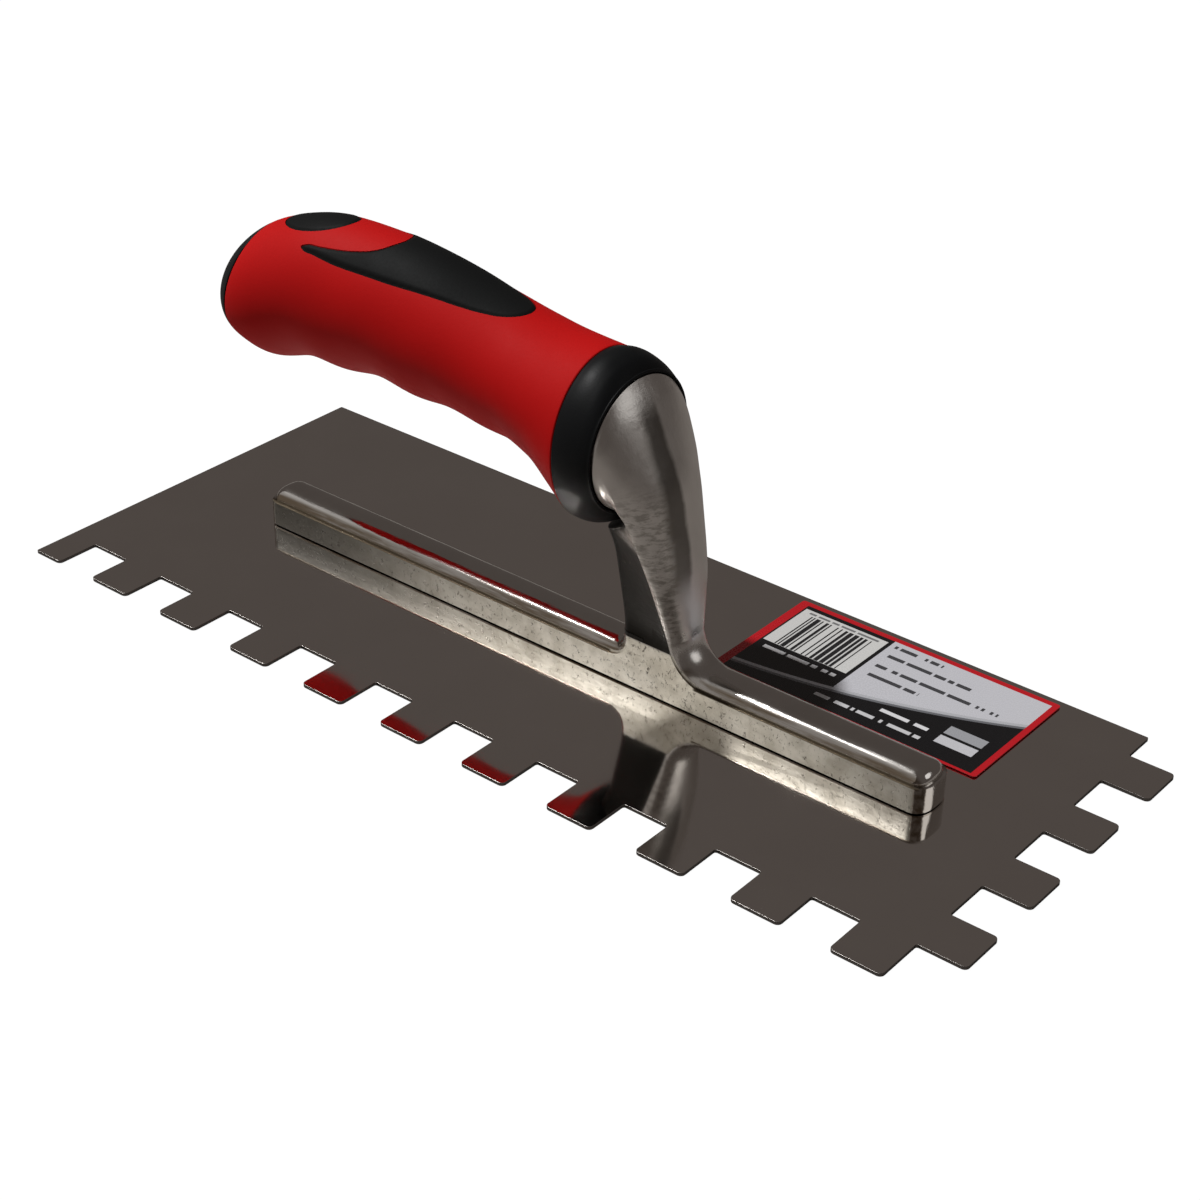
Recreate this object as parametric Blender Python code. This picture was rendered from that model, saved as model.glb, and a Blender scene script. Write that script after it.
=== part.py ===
"""Notched trowel: a notched steel blade riveted under a die-cast mounting whose tang carries a
two-part soft-grip handle. Metres, +Z up, +X towards the short notched side, origin at the centre of
the blade's underside."""

import math

import bmesh
import bpy
import numpy as np

# ---------------------------------------------------------------- driving dimensions
GAP = 0.0003  # clearance between two pieces that touch on the real tool

BLADE_LENGTH = 0.2794
BLADE_WIDTH = 0.1143
BLADE_THICKNESS = 0.0009
NOTCH_DEPTH = 0.01215
LONG_TOOTH = 0.01323  # teeth and notches along the long side
LONG_NOTCH = 0.01258
END_TOOTH = 0.01309  # teeth and notches along the short side
END_NOTCH = 0.01299
END_FIRST_TOOTH = 0.01324  # from the long notched edge to the first tooth of the short side
TIP_RADIUS = 0.0013
ROOT_RADIUS = 0.0006

SPINE_REAR = -0.1050  # where the spine starts and ends along the blade
SPINE_FRONT = 0.1046
SPINE_WIDTH = 0.0128
SPINE_WALL = 0.0082  # height of the flat side wall above the blade's underside
SPINE_TOP = 0.0116  # height of the rounded crown above the blade's underside
SPINE_LEDGE = 0.0007  # the crown springs from this far inside the side walls
SPINE_END_RADIUS = 0.0042

RIVET_COUNT = 9
RIVET_RADIUS = 0.0017
RIVET_HEAD_RADIUS = 0.0029
RIVET_LENGTH = 0.0062
RIVET_END_MARGIN = 0.0075  # from a spine end to the first rivet's axis

SHANK_BACK = 0.0189  # the shank where it leaves the spine
SHANK_FRONT = 0.0352
SHANK_FOLD = 0.0150  # height of the flat base wall that the spine and the shank share
ELBOW_RADIUS = 0.0080  # where the front crown turns up into the shank
ELBOW_ROOT = 0.0040  # how far the elbow reaches into the metal behind it
SHANK_UNDERCUT = 0.0022  # clearance between the shank's back edge and the collar above it

COLLAR_FACE = 0.0165  # where the collar's front face stands along X
COLLAR_LENGTH = 0.0105
COLLAR_HEIGHT = 0.0430
COLLAR_WIDTH = 0.0385
COLLAR_CENTRE = 0.0628  # height of the collar's centre above the blade's underside
SHANK_HEAD_HEIGHT = 0.0336  # the shank's oval where it meets the collar
SHANK_HEAD_WIDTH = 0.0350
SHANK_HEAD_LIFT = 0.0010  # the oval sits this much above the collar's centre

HANDLE_END = -0.1170  # rearmost point of the end cap
CAP_LENGTH = 0.0100  # along the handle's middle, from the sleeve's rear end
CAP_TILT = 0.25  # the joint between sleeve and cap leans forwards at the top by this slope
GRIP_DOME = 0.0220  # length over which the handle rounds off to its rear end
DOME_POWER = 2.3
SLEEVE_WALL = 0.0032
FINGER_WAVE = 0.0008
FINGER_PITCH = 0.0250
FINGER_PEAK = -0.0595  # where one of the finger waves is highest
GRIP_TOP = 0.0942  # crown of the grip above the blade's underside
GRIP_BELLY = 0.0564  # underside of the grip above the blade's underside, at its middle
GRIP_WIDTH = 0.0318  # at its waist

TANG_FRONT_RADIUS = 0.0060
TANG_REAR_RADIUS = 0.0045
TANG_END = -0.0900
TANG_END_HEIGHT = 0.0712
CORE_BORE_GAP = 0.0003

INLAY_DEPTH = 0.0022
INLAY_PROUD = 0.0003
THUMB_FRONT = -0.0168  # the thumb inlay from its round front end to its two pointed tails
THUMB_FORK = -0.0568
THUMB_TAIL = -0.0820
THUMB_HALF_WIDTH = 0.0120
PALM_CENTRE = -0.0849  # the oval inlay at the rear
PALM_LENGTH = 0.0226
PALM_WIDTH = 0.0142

SCREW_RADIUS = 0.0020
SCREW_HEAD_RADIUS = 0.0038
SCREW_HEAD_HEIGHT = 0.0024
SCREW_LENGTH = 0.0120
WASHER_RADIUS = 0.0055
WASHER_THICKNESS = 0.0010
SCREW_SOCKET = 0.0025  # across the flats of its hexagon socket
CORE_FLOOR = 0.0040  # the core's wall between the tang's end and the washer
CAP_PLUG = 0.0050  # how far the cap's plug reaches into the core

LABEL_LENGTH = 0.0757
LABEL_WIDTH = 0.0395
LABEL_THICKNESS = 0.0002
LABEL_REAR = 0.0295
LABEL_SIDE = 0.0154  # from the blade's centre line to the label's near edge

AROUND = 32  # points around the handle's sections
CORE_STATIONS = 16  # rings along the core and along the sleeve's bore, which lie on each other

# ---------------------------------------------------------------- dependent places
BLADE_TOP = BLADE_THICKNESS
SPINE_FOOT = BLADE_TOP + GAP
COLLAR_REAR = COLLAR_FACE - COLLAR_LENGTH
CAP_FRONT = HANDLE_END + CAP_LENGTH
SHANK_HEAD_CENTRE = COLLAR_CENTRE + SHANK_HEAD_LIFT


def clear_scene():
    for obj in list(bpy.data.objects):
        bpy.data.objects.remove(obj, do_unlink=True)


def material(name, colour, roughness, metallic=0.0):
    made = bpy.data.materials.new(name)
    made.use_nodes = True
    shader = made.node_tree.nodes["Principled BSDF"]
    shader.inputs["Base Color"].default_value = (*colour, 1.0)
    shader.inputs["Roughness"].default_value = roughness
    shader.inputs["Metallic"].default_value = metallic
    return made


def add_mesh(name, points, faces, finish):
    mesh = bpy.data.meshes.new(name)
    mesh.from_pydata([tuple(p) for p in points], [], [tuple(f) for f in faces])
    bm = bmesh.new()
    bm.from_mesh(mesh)
    bmesh.ops.recalc_face_normals(bm, faces=bm.faces[:])
    bm.to_mesh(mesh)
    bm.free()
    obj = bpy.data.objects.new(name, mesh)
    bpy.context.scene.collection.objects.link(obj)
    if finish is not None:
        mesh.materials.append(finish)
        mesh.shade_smooth()
        mesh.set_sharp_from_angle(angle=math.radians(35))
    return obj


def loft(name, rings, finish=None):
    """Skins a list of closed rings with the same number of points, and caps both ends."""
    rings = [np.asarray(ring, float) for ring in rings]
    count = len(rings[0])
    faces = [tuple(range(count))]
    for r in range(len(rings) - 1):
        low, high = r * count, (r + 1) * count
        for i in range(count):
            j = (i + 1) % count
            faces.append((low + i, low + j, high + j, high + i))
    faces.append(tuple(range((len(rings) - 1) * count, len(rings) * count)))
    return add_mesh(name, np.concatenate(rings), faces, finish)


def tube(name, outer, inner, finish=None):
    """Skins an outer and an inner list of rings into a sleeve that is open at both ends."""
    rings = [np.asarray(ring, float) for ring in outer + inner[::-1]]
    count = len(rings[0])
    faces = []
    for r in range(len(rings)):
        low, high = r * count, ((r + 1) % len(rings)) * count
        for i in range(count):
            j = (i + 1) % count
            faces.append((low + i, low + j, high + j, high + i))
    return add_mesh(name, np.concatenate(rings), faces, finish)


def prism(name, outline, low, high, finish=None):
    """Extrudes a plan outline of (x, y) points from one height to another."""
    outline = np.asarray(outline, float)
    rings = [np.column_stack([outline, np.full(len(outline), z)]) for z in (low, high)]
    return loft(name, rings, finish)


def helper(obj):
    obj.hide_render = True
    obj.display_type = "WIRE"
    return obj


def boolean(obj, other, operation):
    helper(other)
    modifier = obj.modifiers.new(operation.lower() + "_" + other.name, "BOOLEAN")
    modifier.operation = operation
    modifier.solver = "EXACT"
    modifier.object = other


def smooth_curve(x, knots):
    """A smooth curve through (x, value) knots: cubic pieces with slopes from each knot's neighbours."""
    knots = np.asarray(knots, float)
    at, value = knots[:, 0], knots[:, 1]
    slope = np.gradient(value, at)
    k = np.clip(np.searchsorted(at, x, "right") - 1, 0, len(at) - 2)
    span = at[k + 1] - at[k]
    t = np.clip((x - at[k]) / span, 0.0, 1.0)
    return (
        value[k] * (1 + 2 * t) * (1 - t) ** 2
        + slope[k] * span * t * (1 - t) ** 2
        + value[k + 1] * t * t * (3 - 2 * t)
        + slope[k + 1] * span * t * t * (t - 1)
    )


# ---------------------------------------------------------------- blade, rivets and label
def rounded_outline(corners):
    """A closed outline of (x, y, radius) corners, each corner replaced by an arc."""
    points = []
    for i, (x, y, radius) in enumerate(corners):
        here = np.array([x, y])
        before = np.array(corners[i - 1][:2]) - here
        after = np.array(corners[(i + 1) % len(corners)][:2]) - here
        reach = min(radius, 0.45 * np.linalg.norm(before), 0.45 * np.linalg.norm(after))
        if reach <= 0:
            points.append(here)
            continue
        before = before / np.linalg.norm(before) * reach
        after = after / np.linalg.norm(after) * reach
        centre = here + before + after
        steps = 3 if radius > ROOT_RADIUS else 2
        for k in range(steps + 1):
            angle = 0.5 * math.pi * k / steps
            points.append(centre - after * math.cos(angle) - before * math.sin(angle))
    return points


def blade_corners():
    """The blade's outline, counter-clockwise from the rear end of the notched long side."""
    rear, front = -BLADE_LENGTH / 2, BLADE_LENGTH / 2
    near, far = -BLADE_WIDTH / 2, BLADE_WIDTH / 2
    root_y, root_x = near + NOTCH_DEPTH, front - NOTCH_DEPTH
    teeth = []  # (start, end) along X, counted back from the short side's root line
    end = root_x
    while end > rear + 0.25 * LONG_TOOTH:
        teeth.append((max(end - LONG_TOOTH, rear), end))
        end -= LONG_TOOTH + LONG_NOTCH
    corners = []
    for start, end in reversed(teeth):
        if start > rear:
            corners += [(start, root_y, ROOT_RADIUS), (start, near, TIP_RADIUS)]
        else:
            corners += [(start, near, 0.0)]
        corners += [(end, near, TIP_RADIUS), (end, root_y, ROOT_RADIUS)]
    if teeth[-1][0] > rear:
        corners = [(rear, root_y, 0.0)] + corners
    corners = corners[:-1]  # the last root corner is the cut-away corner, which follows
    start = near + END_FIRST_TOOTH
    corners.append((root_x, start, ROOT_RADIUS))
    while start + END_TOOTH < far:
        end = start + END_TOOTH
        corners += [(front, start, TIP_RADIUS), (front, end, TIP_RADIUS)]
        corners.append((root_x, end, ROOT_RADIUS))
        start = end + END_NOTCH
        if start + 0.25 * END_TOOTH < far:
            corners.append((root_x, start, ROOT_RADIUS))
    if start + 0.25 * END_TOOTH < far:
        corners += [(front, start, TIP_RADIUS), (front, far, 0.0)]
    else:
        corners.append((root_x, far, 0.0))
    corners.append((rear, far, 0.0))
    return corners


def rivet_places():
    first, last = SPINE_REAR + RIVET_END_MARGIN, SPINE_FRONT - RIVET_END_MARGIN
    return [first + (last - first) * i / (RIVET_COUNT - 1) for i in range(RIVET_COUNT)]


def circle(radius, count):
    angles = 2 * math.pi * np.arange(count) / count
    return np.column_stack([radius * np.cos(angles), radius * np.sin(angles)])


def turned(name, x, profile, count, finish=None):
    """A solid of revolution about the vertical axis at x, from (radius, z) profile points."""
    rings = []
    for radius, z in profile:
        ring = circle(radius, count)
        rings.append(np.column_stack([ring[:, 0] + x, ring[:, 1], np.full(count, z)]))
    return loft(name, rings, finish)


def make_blade(steel):
    blade = prism("blade", rounded_outline(blade_corners()), 0.0, BLADE_TOP, steel)
    slope = (RIVET_HEAD_RADIUS - RIVET_RADIUS) / BLADE_THICKNESS
    over = 0.0004  # the cutter runs past both faces of the blade
    for i, x in enumerate(rivet_places()):
        low, high = RIVET_HEAD_RADIUS + GAP + over * slope, RIVET_RADIUS + GAP - over * slope
        cutter = turned(f"blade_hole_{i + 1}", x, [(low, -over), (high, BLADE_TOP + over)], 16)
        boolean(blade, cutter, "DIFFERENCE")
    return blade


def make_rivets(steel):
    top = BLADE_TOP + RIVET_LENGTH
    profile = [
        (RIVET_HEAD_RADIUS, 0.0),
        (RIVET_RADIUS, BLADE_TOP),
        (RIVET_RADIUS, top - 0.0005),
        (RIVET_RADIUS - 0.0005, top),
    ]
    for i, x in enumerate(rivet_places()):
        turned(f"rivet_{i + 1}", x, profile, 16, steel)


def make_label(paper):
    low, high = BLADE_TOP + GAP, BLADE_TOP + GAP + LABEL_THICKNESS
    front, far = LABEL_REAR + LABEL_LENGTH, LABEL_SIDE + LABEL_WIDTH
    outline = [(LABEL_REAR, LABEL_SIDE), (front, LABEL_SIDE), (front, far), (LABEL_REAR, far)]
    prism("label", outline, low, high, paper)


# ---------------------------------------------------------------- cast mounting
def spine_section(x, half, wall, top):
    """Flat side walls from the foot up, then a rounded crown over them."""
    crown = [math.pi * k / 10 for k in range(11)]
    inner = half - SPINE_LEDGE
    points = [(half, SPINE_FOOT), (half, wall)]
    points += [(inner * math.cos(a), wall + (top - wall) * math.sin(a)) for a in crown]
    points += [(-half, wall), (-half, SPINE_FOOT)]
    return [(x, y, z) for y, z in points]


def spine_rings():
    half = SPINE_WIDTH / 2
    radius = SPINE_END_RADIUS
    rings = []
    angles = [math.radians(a) for a in (0, 22, 45, 67, 90)]
    for a in angles:  # the ends are rounded in plan, and the crown rounds down to them
        width = half - radius * (1 - math.sin(a))
        height = SPINE_WALL + (SPINE_TOP - SPINE_WALL) * math.sin(a)
        place = SPINE_REAR + radius * (1 - math.cos(a))
        rings.append(spine_section(place, width, SPINE_WALL, max(height, SPINE_WALL + 0.0006)))
    for a in reversed(angles):
        width = half - radius * (1 - math.sin(a))
        height = SPINE_WALL + (SPINE_TOP - SPINE_WALL) * math.sin(a)
        place = SPINE_FRONT - radius * (1 - math.cos(a))
        rings.append(spine_section(place, width, SPINE_WALL, max(height, SPINE_WALL + 0.0006)))
    return rings


def shank_section(back, front, ridge, ridge_half, back_half, oval):
    """One section of the shank between a back and a front point in the XZ plane. The nose in front of
    the ridge is half an ellipse; behind it the sides run straight to a blunt back edge, or round
    off into the rest of the oval."""
    back, front = np.array(back), np.array(front)
    points = []
    steps = 8
    for k in range(-steps, steps + 1):  # nose, from one ridge over the front to the other
        a = 0.5 * math.pi * k / steps
        t, y = ridge + (1 - ridge) * math.cos(a), ridge_half * math.sin(a)
        points.append((t, y))
    for k in range(1, 2 * steps):  # back, from the far ridge round to the near one
        a = 0.5 * math.pi * k / steps
        round_t, round_y = ridge * (1 - math.sin(a)), ridge_half * math.cos(a)
        run = min(1.0, k / (steps - 2), (2 * steps - k) / (steps - 2))
        side = 1 if k < steps else -1
        blunt_y = side * (ridge_half + (back_half - ridge_half) * run)
        if abs(k - steps) < 2:
            blunt_y = back_half * (steps - k) / 2
        blunt_t = ridge * (1 - run)
        points.append((blunt_t + (round_t - blunt_t) * oval, blunt_y + (round_y - blunt_y) * oval))
    run, rise = front - back
    return [(back[0] + run * t, y, back[1] + rise * t) for t, y in points]


def shank_rings():
    half = SPINE_WIDTH / 2
    head_low = SHANK_HEAD_CENTRE - SHANK_HEAD_HEIGHT / 2
    head_high = head_low + SHANK_HEAD_HEIGHT
    head_half = SHANK_HEAD_WIDTH / 2
    under = COLLAR_CENTRE - COLLAR_HEIGHT / 2 - SHANK_UNDERCUT
    face = COLLAR_FACE
    back, front = SHANK_BACK, SHANK_FRONT
    # back point, front point, where the ridge lies between them, and the half widths there
    sections = [
        ((back, 0.0030), (front, 0.0030), 0.96, half, half, 0.0),
        ((back, SHANK_FOLD), (front, SHANK_FOLD), 0.95, half, half - 0.0006, 0.0),
        ((back - 0.0017, 0.0220), (front - 0.0003, 0.0220), 0.87, 0.0074, 0.0052, 0.0),
        ((back - 0.0035, 0.0300), (front - 0.0011, 0.0300), 0.80, 0.0092, 0.0050, 0.0),
        ((back - 0.0050, 0.0365), (front - 0.0020, 0.0375), 0.73, 0.0107, 0.0050, 0.0),
        ((face - 0.0036, under), (front - 0.0033, 0.0450), 0.70, 0.0120, 0.0052, 0.0),
        ((face + 0.0013, under + 0.0039), (front - 0.0062, 0.0560), 0.55, 0.0134, 0.0080, 0.3),
        ((face + 0.0010, head_low - 0.0012), (face + 0.0087, 0.0645), 0.52, 0.0152, 0.0100, 0.6),
        ((face + 0.0008, head_low), (face + 0.0038, 0.0740), 0.52, head_half - 0.0010, 0.0100, 0.9),
        ((face, head_low), (face, head_high), 0.50, head_half, 0.0100, 1.0),
        ((COLLAR_REAR, head_low), (COLLAR_REAR, head_high), 0.50, head_half, 0.0100, 1.0),
    ]
    return [shank_section(*section) for section in sections]


def elbow_rings():
    """The crown of the front spine, bent up on a quarter circle into the shank's front."""
    half = SPINE_WIDTH / 2
    centre = np.array([SHANK_FRONT + ELBOW_RADIUS, SPINE_TOP + ELBOW_RADIUS])
    rise = SPINE_TOP - SPINE_WALL
    deep = ELBOW_RADIUS + rise + ELBOW_ROOT
    rings = []
    for k in range(9):
        turn = 0.5 * math.pi * k / 8
        down = np.array([-math.sin(turn), -math.cos(turn)])
        crown = [math.pi * n / 10 for n in range(11)]
        inner = half - SPINE_LEDGE * math.cos(turn)
        across = [(half, deep), (half, ELBOW_RADIUS + rise)]
        across += [(inner * math.cos(a), ELBOW_RADIUS + rise * (1 - math.sin(a))) for a in crown]
        across += [(-half, ELBOW_RADIUS + rise), (-half, deep)]
        rings.append([(centre[0] + down[0] * d, y, centre[1] + down[1] * d) for y, d in across])
    return rings


def tang_axis():
    """Start point and unit direction of the tang, from inside the shank's head to the rear."""
    start = np.array([COLLAR_REAR, 0.0, SHANK_HEAD_CENTRE])
    end = np.array([TANG_END, 0.0, TANG_END_HEIGHT])
    length = np.linalg.norm(end - start)
    return start, (end - start) / length, length


def rod(name, stations, count, finish=None):
    """A round solid on the tang's axis, from (distance along it, radius) stations."""
    start, along, _ = tang_axis()
    across = np.array([0.0, 1.0, 0.0])
    up = np.cross(along, across)
    rings = []
    for distance, radius in stations:
        ring = circle(radius, count)
        rings.append(start + along * distance + ring[:, :1] * across + ring[:, 1:] * up)
    return loft(name, rings, finish)


def make_mounting(aluminium):
    _, _, length = tang_axis()
    mounting = loft("mounting", spine_rings(), aluminium)
    boolean(mounting, loft("mounting_shank", shank_rings()), "UNION")
    boolean(mounting, loft("mounting_elbow", elbow_rings()), "UNION")
    reach = COLLAR_LENGTH / 4  # the tang starts inside the shank's head
    tang = rod(
        "mounting_tang",
        [(-reach, TANG_FRONT_RADIUS), (0.3 * length, TANG_FRONT_RADIUS), (length, TANG_REAR_RADIUS)],
        20,
    )
    boolean(mounting, tang, "UNION")
    tapped = rod(
        "mounting_tapped_hole",
        [(length - SCREW_LENGTH, SCREW_RADIUS + GAP), (length + 0.002, SCREW_RADIUS + GAP)],
        16,
    )
    boolean(mounting, tapped, "DIFFERENCE")
    low, high = SPINE_FOOT - 0.001, BLADE_TOP + RIVET_LENGTH + GAP
    for i, x in enumerate(rivet_places()):
        radius = RIVET_RADIUS + GAP
        cutter = turned(f"mounting_rivet_hole_{i + 1}", x, [(radius, low), (radius, high)], 16)
        boolean(mounting, cutter, "DIFFERENCE")
    return mounting


# ---------------------------------------------------------------- handle
def grip_shape(x):
    """Centre height, half height and half width of the grip's outer surface at x."""
    collar_top = COLLAR_CENTRE + COLLAR_HEIGHT / 2
    collar_low = COLLAR_CENTRE - COLLAR_HEIGHT / 2
    front, rear = COLLAR_REAR, HANDLE_END
    crown = front - 0.57 * (front - rear)  # the highest point of the back
    top = smooth_curve(
        x,
        [
            (rear, GRIP_TOP - 0.0122),
            (rear + 0.017, GRIP_TOP - 0.0057),
            (crown - 0.020, GRIP_TOP - 0.0010),
            (crown, GRIP_TOP),
            (crown + 0.016, GRIP_TOP - 0.0013),
            (front - 0.033, GRIP_TOP - 0.0054),
            (front - 0.014, collar_top + 0.0007),
            (front, collar_top),
        ],
    )
    belly = smooth_curve(
        x,
        [
            (rear, GRIP_BELLY - 0.0080),
            (rear + 0.017, GRIP_BELLY - 0.0050),
            (crown - 0.016, GRIP_BELLY - 0.0012),
            (crown + 0.005, GRIP_BELLY),
            (front - 0.041, GRIP_BELLY - 0.0008),
            (front - 0.018, GRIP_BELLY - 0.0026),
            (front - 0.0105, GRIP_BELLY - 0.0056),
            (front - 0.005, collar_low + 0.0047),
            (front, collar_low),
        ],
    )
    fade = np.clip((front - 0.014 - x) / 0.008, 0, 1) * np.clip((x - rear - 0.005) / 0.010, 0, 1)
    belly = belly + FINGER_WAVE * fade * np.cos(2 * np.pi * (x - FINGER_PEAK) / FINGER_PITCH)
    half = GRIP_WIDTH / 2
    width = smooth_curve(
        x,
        [
            (rear, half + 0.0008),
            (rear + 0.019, half + 0.0007),
            (crown, half + 0.0002),
            (front - 0.050, half),
            (front - 0.026, half + 0.0003),
            (front - 0.012, half + 0.0015),
            (front, COLLAR_WIDTH / 2),
        ],
    )
    run = np.clip((x - rear) / GRIP_DOME, 0, 1)
    dome = (1 - (1 - run) ** DOME_POWER) ** (1 / DOME_POWER)
    return (top + belly) / 2, (top - belly) / 2 * dome, width * dome


def grip_ring(x, inset=0.0, lean=0.0):
    """One ring of the grip's surface, moved inwards by inset and leaning forwards at the top."""
    angle = 2 * np.pi * np.arange(AROUND) / AROUND
    place = np.full(AROUND, x)
    middle, _, _ = grip_shape(np.array([x]))
    for _ in range(6):  # settles where the leaning ring meets the surface
        centre, tall, wide = grip_shape(place)
        z = centre + (tall - inset) * np.cos(angle)
        place = x + lean * (z - middle[0])
    y = (wide - inset) * np.sin(angle)
    return np.column_stack([place, y, z])


def lean_at(x):
    """The rings lean only near the cap's joint."""
    return CAP_TILT * float(np.clip((CAP_FRONT + 0.022 - x) / 0.020, 0, 1))


def grip_rings(rear, front, count, inset):
    return [grip_ring(x, inset, lean_at(x)) for x in np.linspace(rear, front, count)]


def oval_ring(x, centre, tall, wide):
    angle = 2 * np.pi * np.arange(AROUND) / AROUND
    return np.column_stack(
        [np.full(AROUND, x), wide * np.sin(angle), centre + tall * np.cos(angle)]
    )


def thumb_outline(grow):
    """The thumb inlay in plan: round in front, forked into two tails behind."""
    half = THUMB_HALF_WIDTH
    length = THUMB_FRONT - THUMB_TAIL
    widest = THUMB_TAIL + 0.20 * length
    taper = [(0, 1.0), (0.25, 0.91), (0.50, 0.72), (0.68, 0.49), (0.76, 0.29), (0.80, 0.0)]
    side = []
    for run, share in taper:  # shares of the length and of the half width, from the widest place
        x, y = widest + run * length, share * half
        side.append((x + grow * run / taper[-1][0], y + grow * (y > 0)))
    outer = []
    for k in range(len(side) - 1):  # a smooth side from the widest place to the round front end
        outer += [side_point(side, k, t) for t in (0.0, 0.5)]
    tail = [(THUMB_TAIL - 2 * grow, 0.89 * half), (0.5 * (THUMB_TAIL + widest), 0.97 * half + grow)]
    fork = []
    for k in range(6):  # the fork's hollow edge
        a = 0.5 * math.pi * k / 6
        run = THUMB_FORK - THUMB_TAIL - grow
        fork.append((THUMB_TAIL + run * math.cos(a) ** 0.7, (0.86 * half - grow) * math.sin(a)))
    near = fork + tail + outer
    return near + [side[-1]] + [(x, -y) for x, y in reversed(near[1:])]


def side_point(points, k, t):
    """A point on the smooth curve through a side's points, t of the way from point k to the next."""
    points = [np.array(p) for p in points]
    before = points[k - 1] if k else points[0] - (points[1] - points[0]) * [1, 0]
    after = points[k + 2] if k + 2 < len(points) else points[k] * [1, -1]
    a, b = points[k], points[k + 1]
    m, n = (b - before) / 2, (after - a) / 2
    h = [2 * t**3 - 3 * t * t + 1, t**3 - 2 * t * t + t, 3 * t * t - 2 * t**3, t**3 - t * t]
    return tuple(h[0] * a + h[1] * m + h[2] * b + h[3] * n)


def palm_outline(grow):
    angles = 2 * math.pi * np.arange(28) / 28
    return np.column_stack(
        [
            PALM_CENTRE + (PALM_LENGTH / 2 + grow) * np.cos(angles),
            (PALM_WIDTH / 2 + grow) * np.sin(angles),
        ]
    )


def grip_patch(name, outline, rear, front, outside, inside, finish=None):
    """The part of the grip's wall inside a plan outline, between two offsets of its surface."""
    count = max(8, round((front - rear) / 0.0035))
    outer = grip_rings(rear, front, count, -outside)
    inner = grip_rings(rear, front, count, inside)
    patch = tube(name, outer, inner, finish)
    high = GRIP_TOP + 0.010
    boolean(patch, prism(name + "_outline", outline, COLLAR_CENTRE + 0.012, high), "INTERSECT")
    return patch


def make_sleeve(rubber):
    rear, front = CAP_FRONT + GAP / 2, COLLAR_REAR - GAP
    outer = grip_rings(rear, front, 38, 0.0)
    inner = grip_rings(rear, front, CORE_STATIONS, SLEEVE_WALL)
    sleeve = tube("grip_sleeve", outer, inner, rubber)
    depth = INLAY_DEPTH + GAP
    for name, outline, low, high in inlay_places(GAP):
        pocket = grip_patch(name + "_pocket", outline, low, high, 0.001, depth)
        boolean(sleeve, pocket, "DIFFERENCE")
    return sleeve


def inlay_places(grow):
    """Name, plan outline and stretch along X of the two inlays."""
    margin = 0.004
    palm = PALM_LENGTH / 2 + margin
    return [
        ("thumb_inlay", thumb_outline(grow), THUMB_TAIL - margin, THUMB_FRONT + margin),
        ("palm_inlay", palm_outline(grow), PALM_CENTRE - palm, PALM_CENTRE + palm),
    ]


def make_inlays(rubber):
    for name, outline, low, high in inlay_places(0.0):
        grip_patch(name, outline, low, high, INLAY_PROUD, INLAY_DEPTH, rubber)


def make_collar(plastic):
    tall, wide = COLLAR_HEIGHT / 2, COLLAR_WIDTH / 2
    lift = SHANK_HEAD_CENTRE - COLLAR_CENTRE
    # how far the ring stands out beyond the grip's end, along its length from rear to front
    profile = [(0.0, 0.0), (0.2, 0.0003), (0.4, 0.0001), (0.6, -0.0006), (0.78, -0.0015)]
    profile += [(0.92, -0.0026), (1.0, -0.0038)]
    outer = [
        oval_ring(COLLAR_REAR + COLLAR_LENGTH * t, COLLAR_CENTRE + lift * t, tall + out, wide + out * 0.3)
        for t, out in profile
    ]
    bore_tall, bore_wide = SHANK_HEAD_HEIGHT / 2 + GAP, SHANK_HEAD_WIDTH / 2 + GAP
    inner = [
        oval_ring(x, SHANK_HEAD_CENTRE, bore_tall, bore_wide) for x in (COLLAR_REAR, COLLAR_FACE)
    ]
    return tube("front_collar", outer, inner, plastic)


def make_core(plastic):
    _, _, length = tang_axis()
    body = grip_rings(CAP_FRONT + GAP / 2, COLLAR_REAR - GAP, CORE_STATIONS, SLEEVE_WALL + GAP)
    core = loft("handle_core", body, plastic)
    bore = rod(
        "core_tang_bore",
        [
            (-0.004, TANG_FRONT_RADIUS + CORE_BORE_GAP),
            (0.3 * length, TANG_FRONT_RADIUS + CORE_BORE_GAP),
            (length + GAP, TANG_REAR_RADIUS + CORE_BORE_GAP),
        ],
        20,
    )
    boolean(core, bore, "DIFFERENCE")
    hole = rod(
        "core_screw_hole",
        [(length - 0.002, SCREW_RADIUS + GAP), (length + 0.020, SCREW_RADIUS + GAP)],
        16,
    )
    boolean(core, hole, "DIFFERENCE")
    recess = rod(
        "core_recess",
        [(length + CORE_FLOOR, WASHER_RADIUS + GAP), (length + 0.030, WASHER_RADIUS + GAP)],
        24,
    )
    boolean(core, recess, "DIFFERENCE")
    return core


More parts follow.
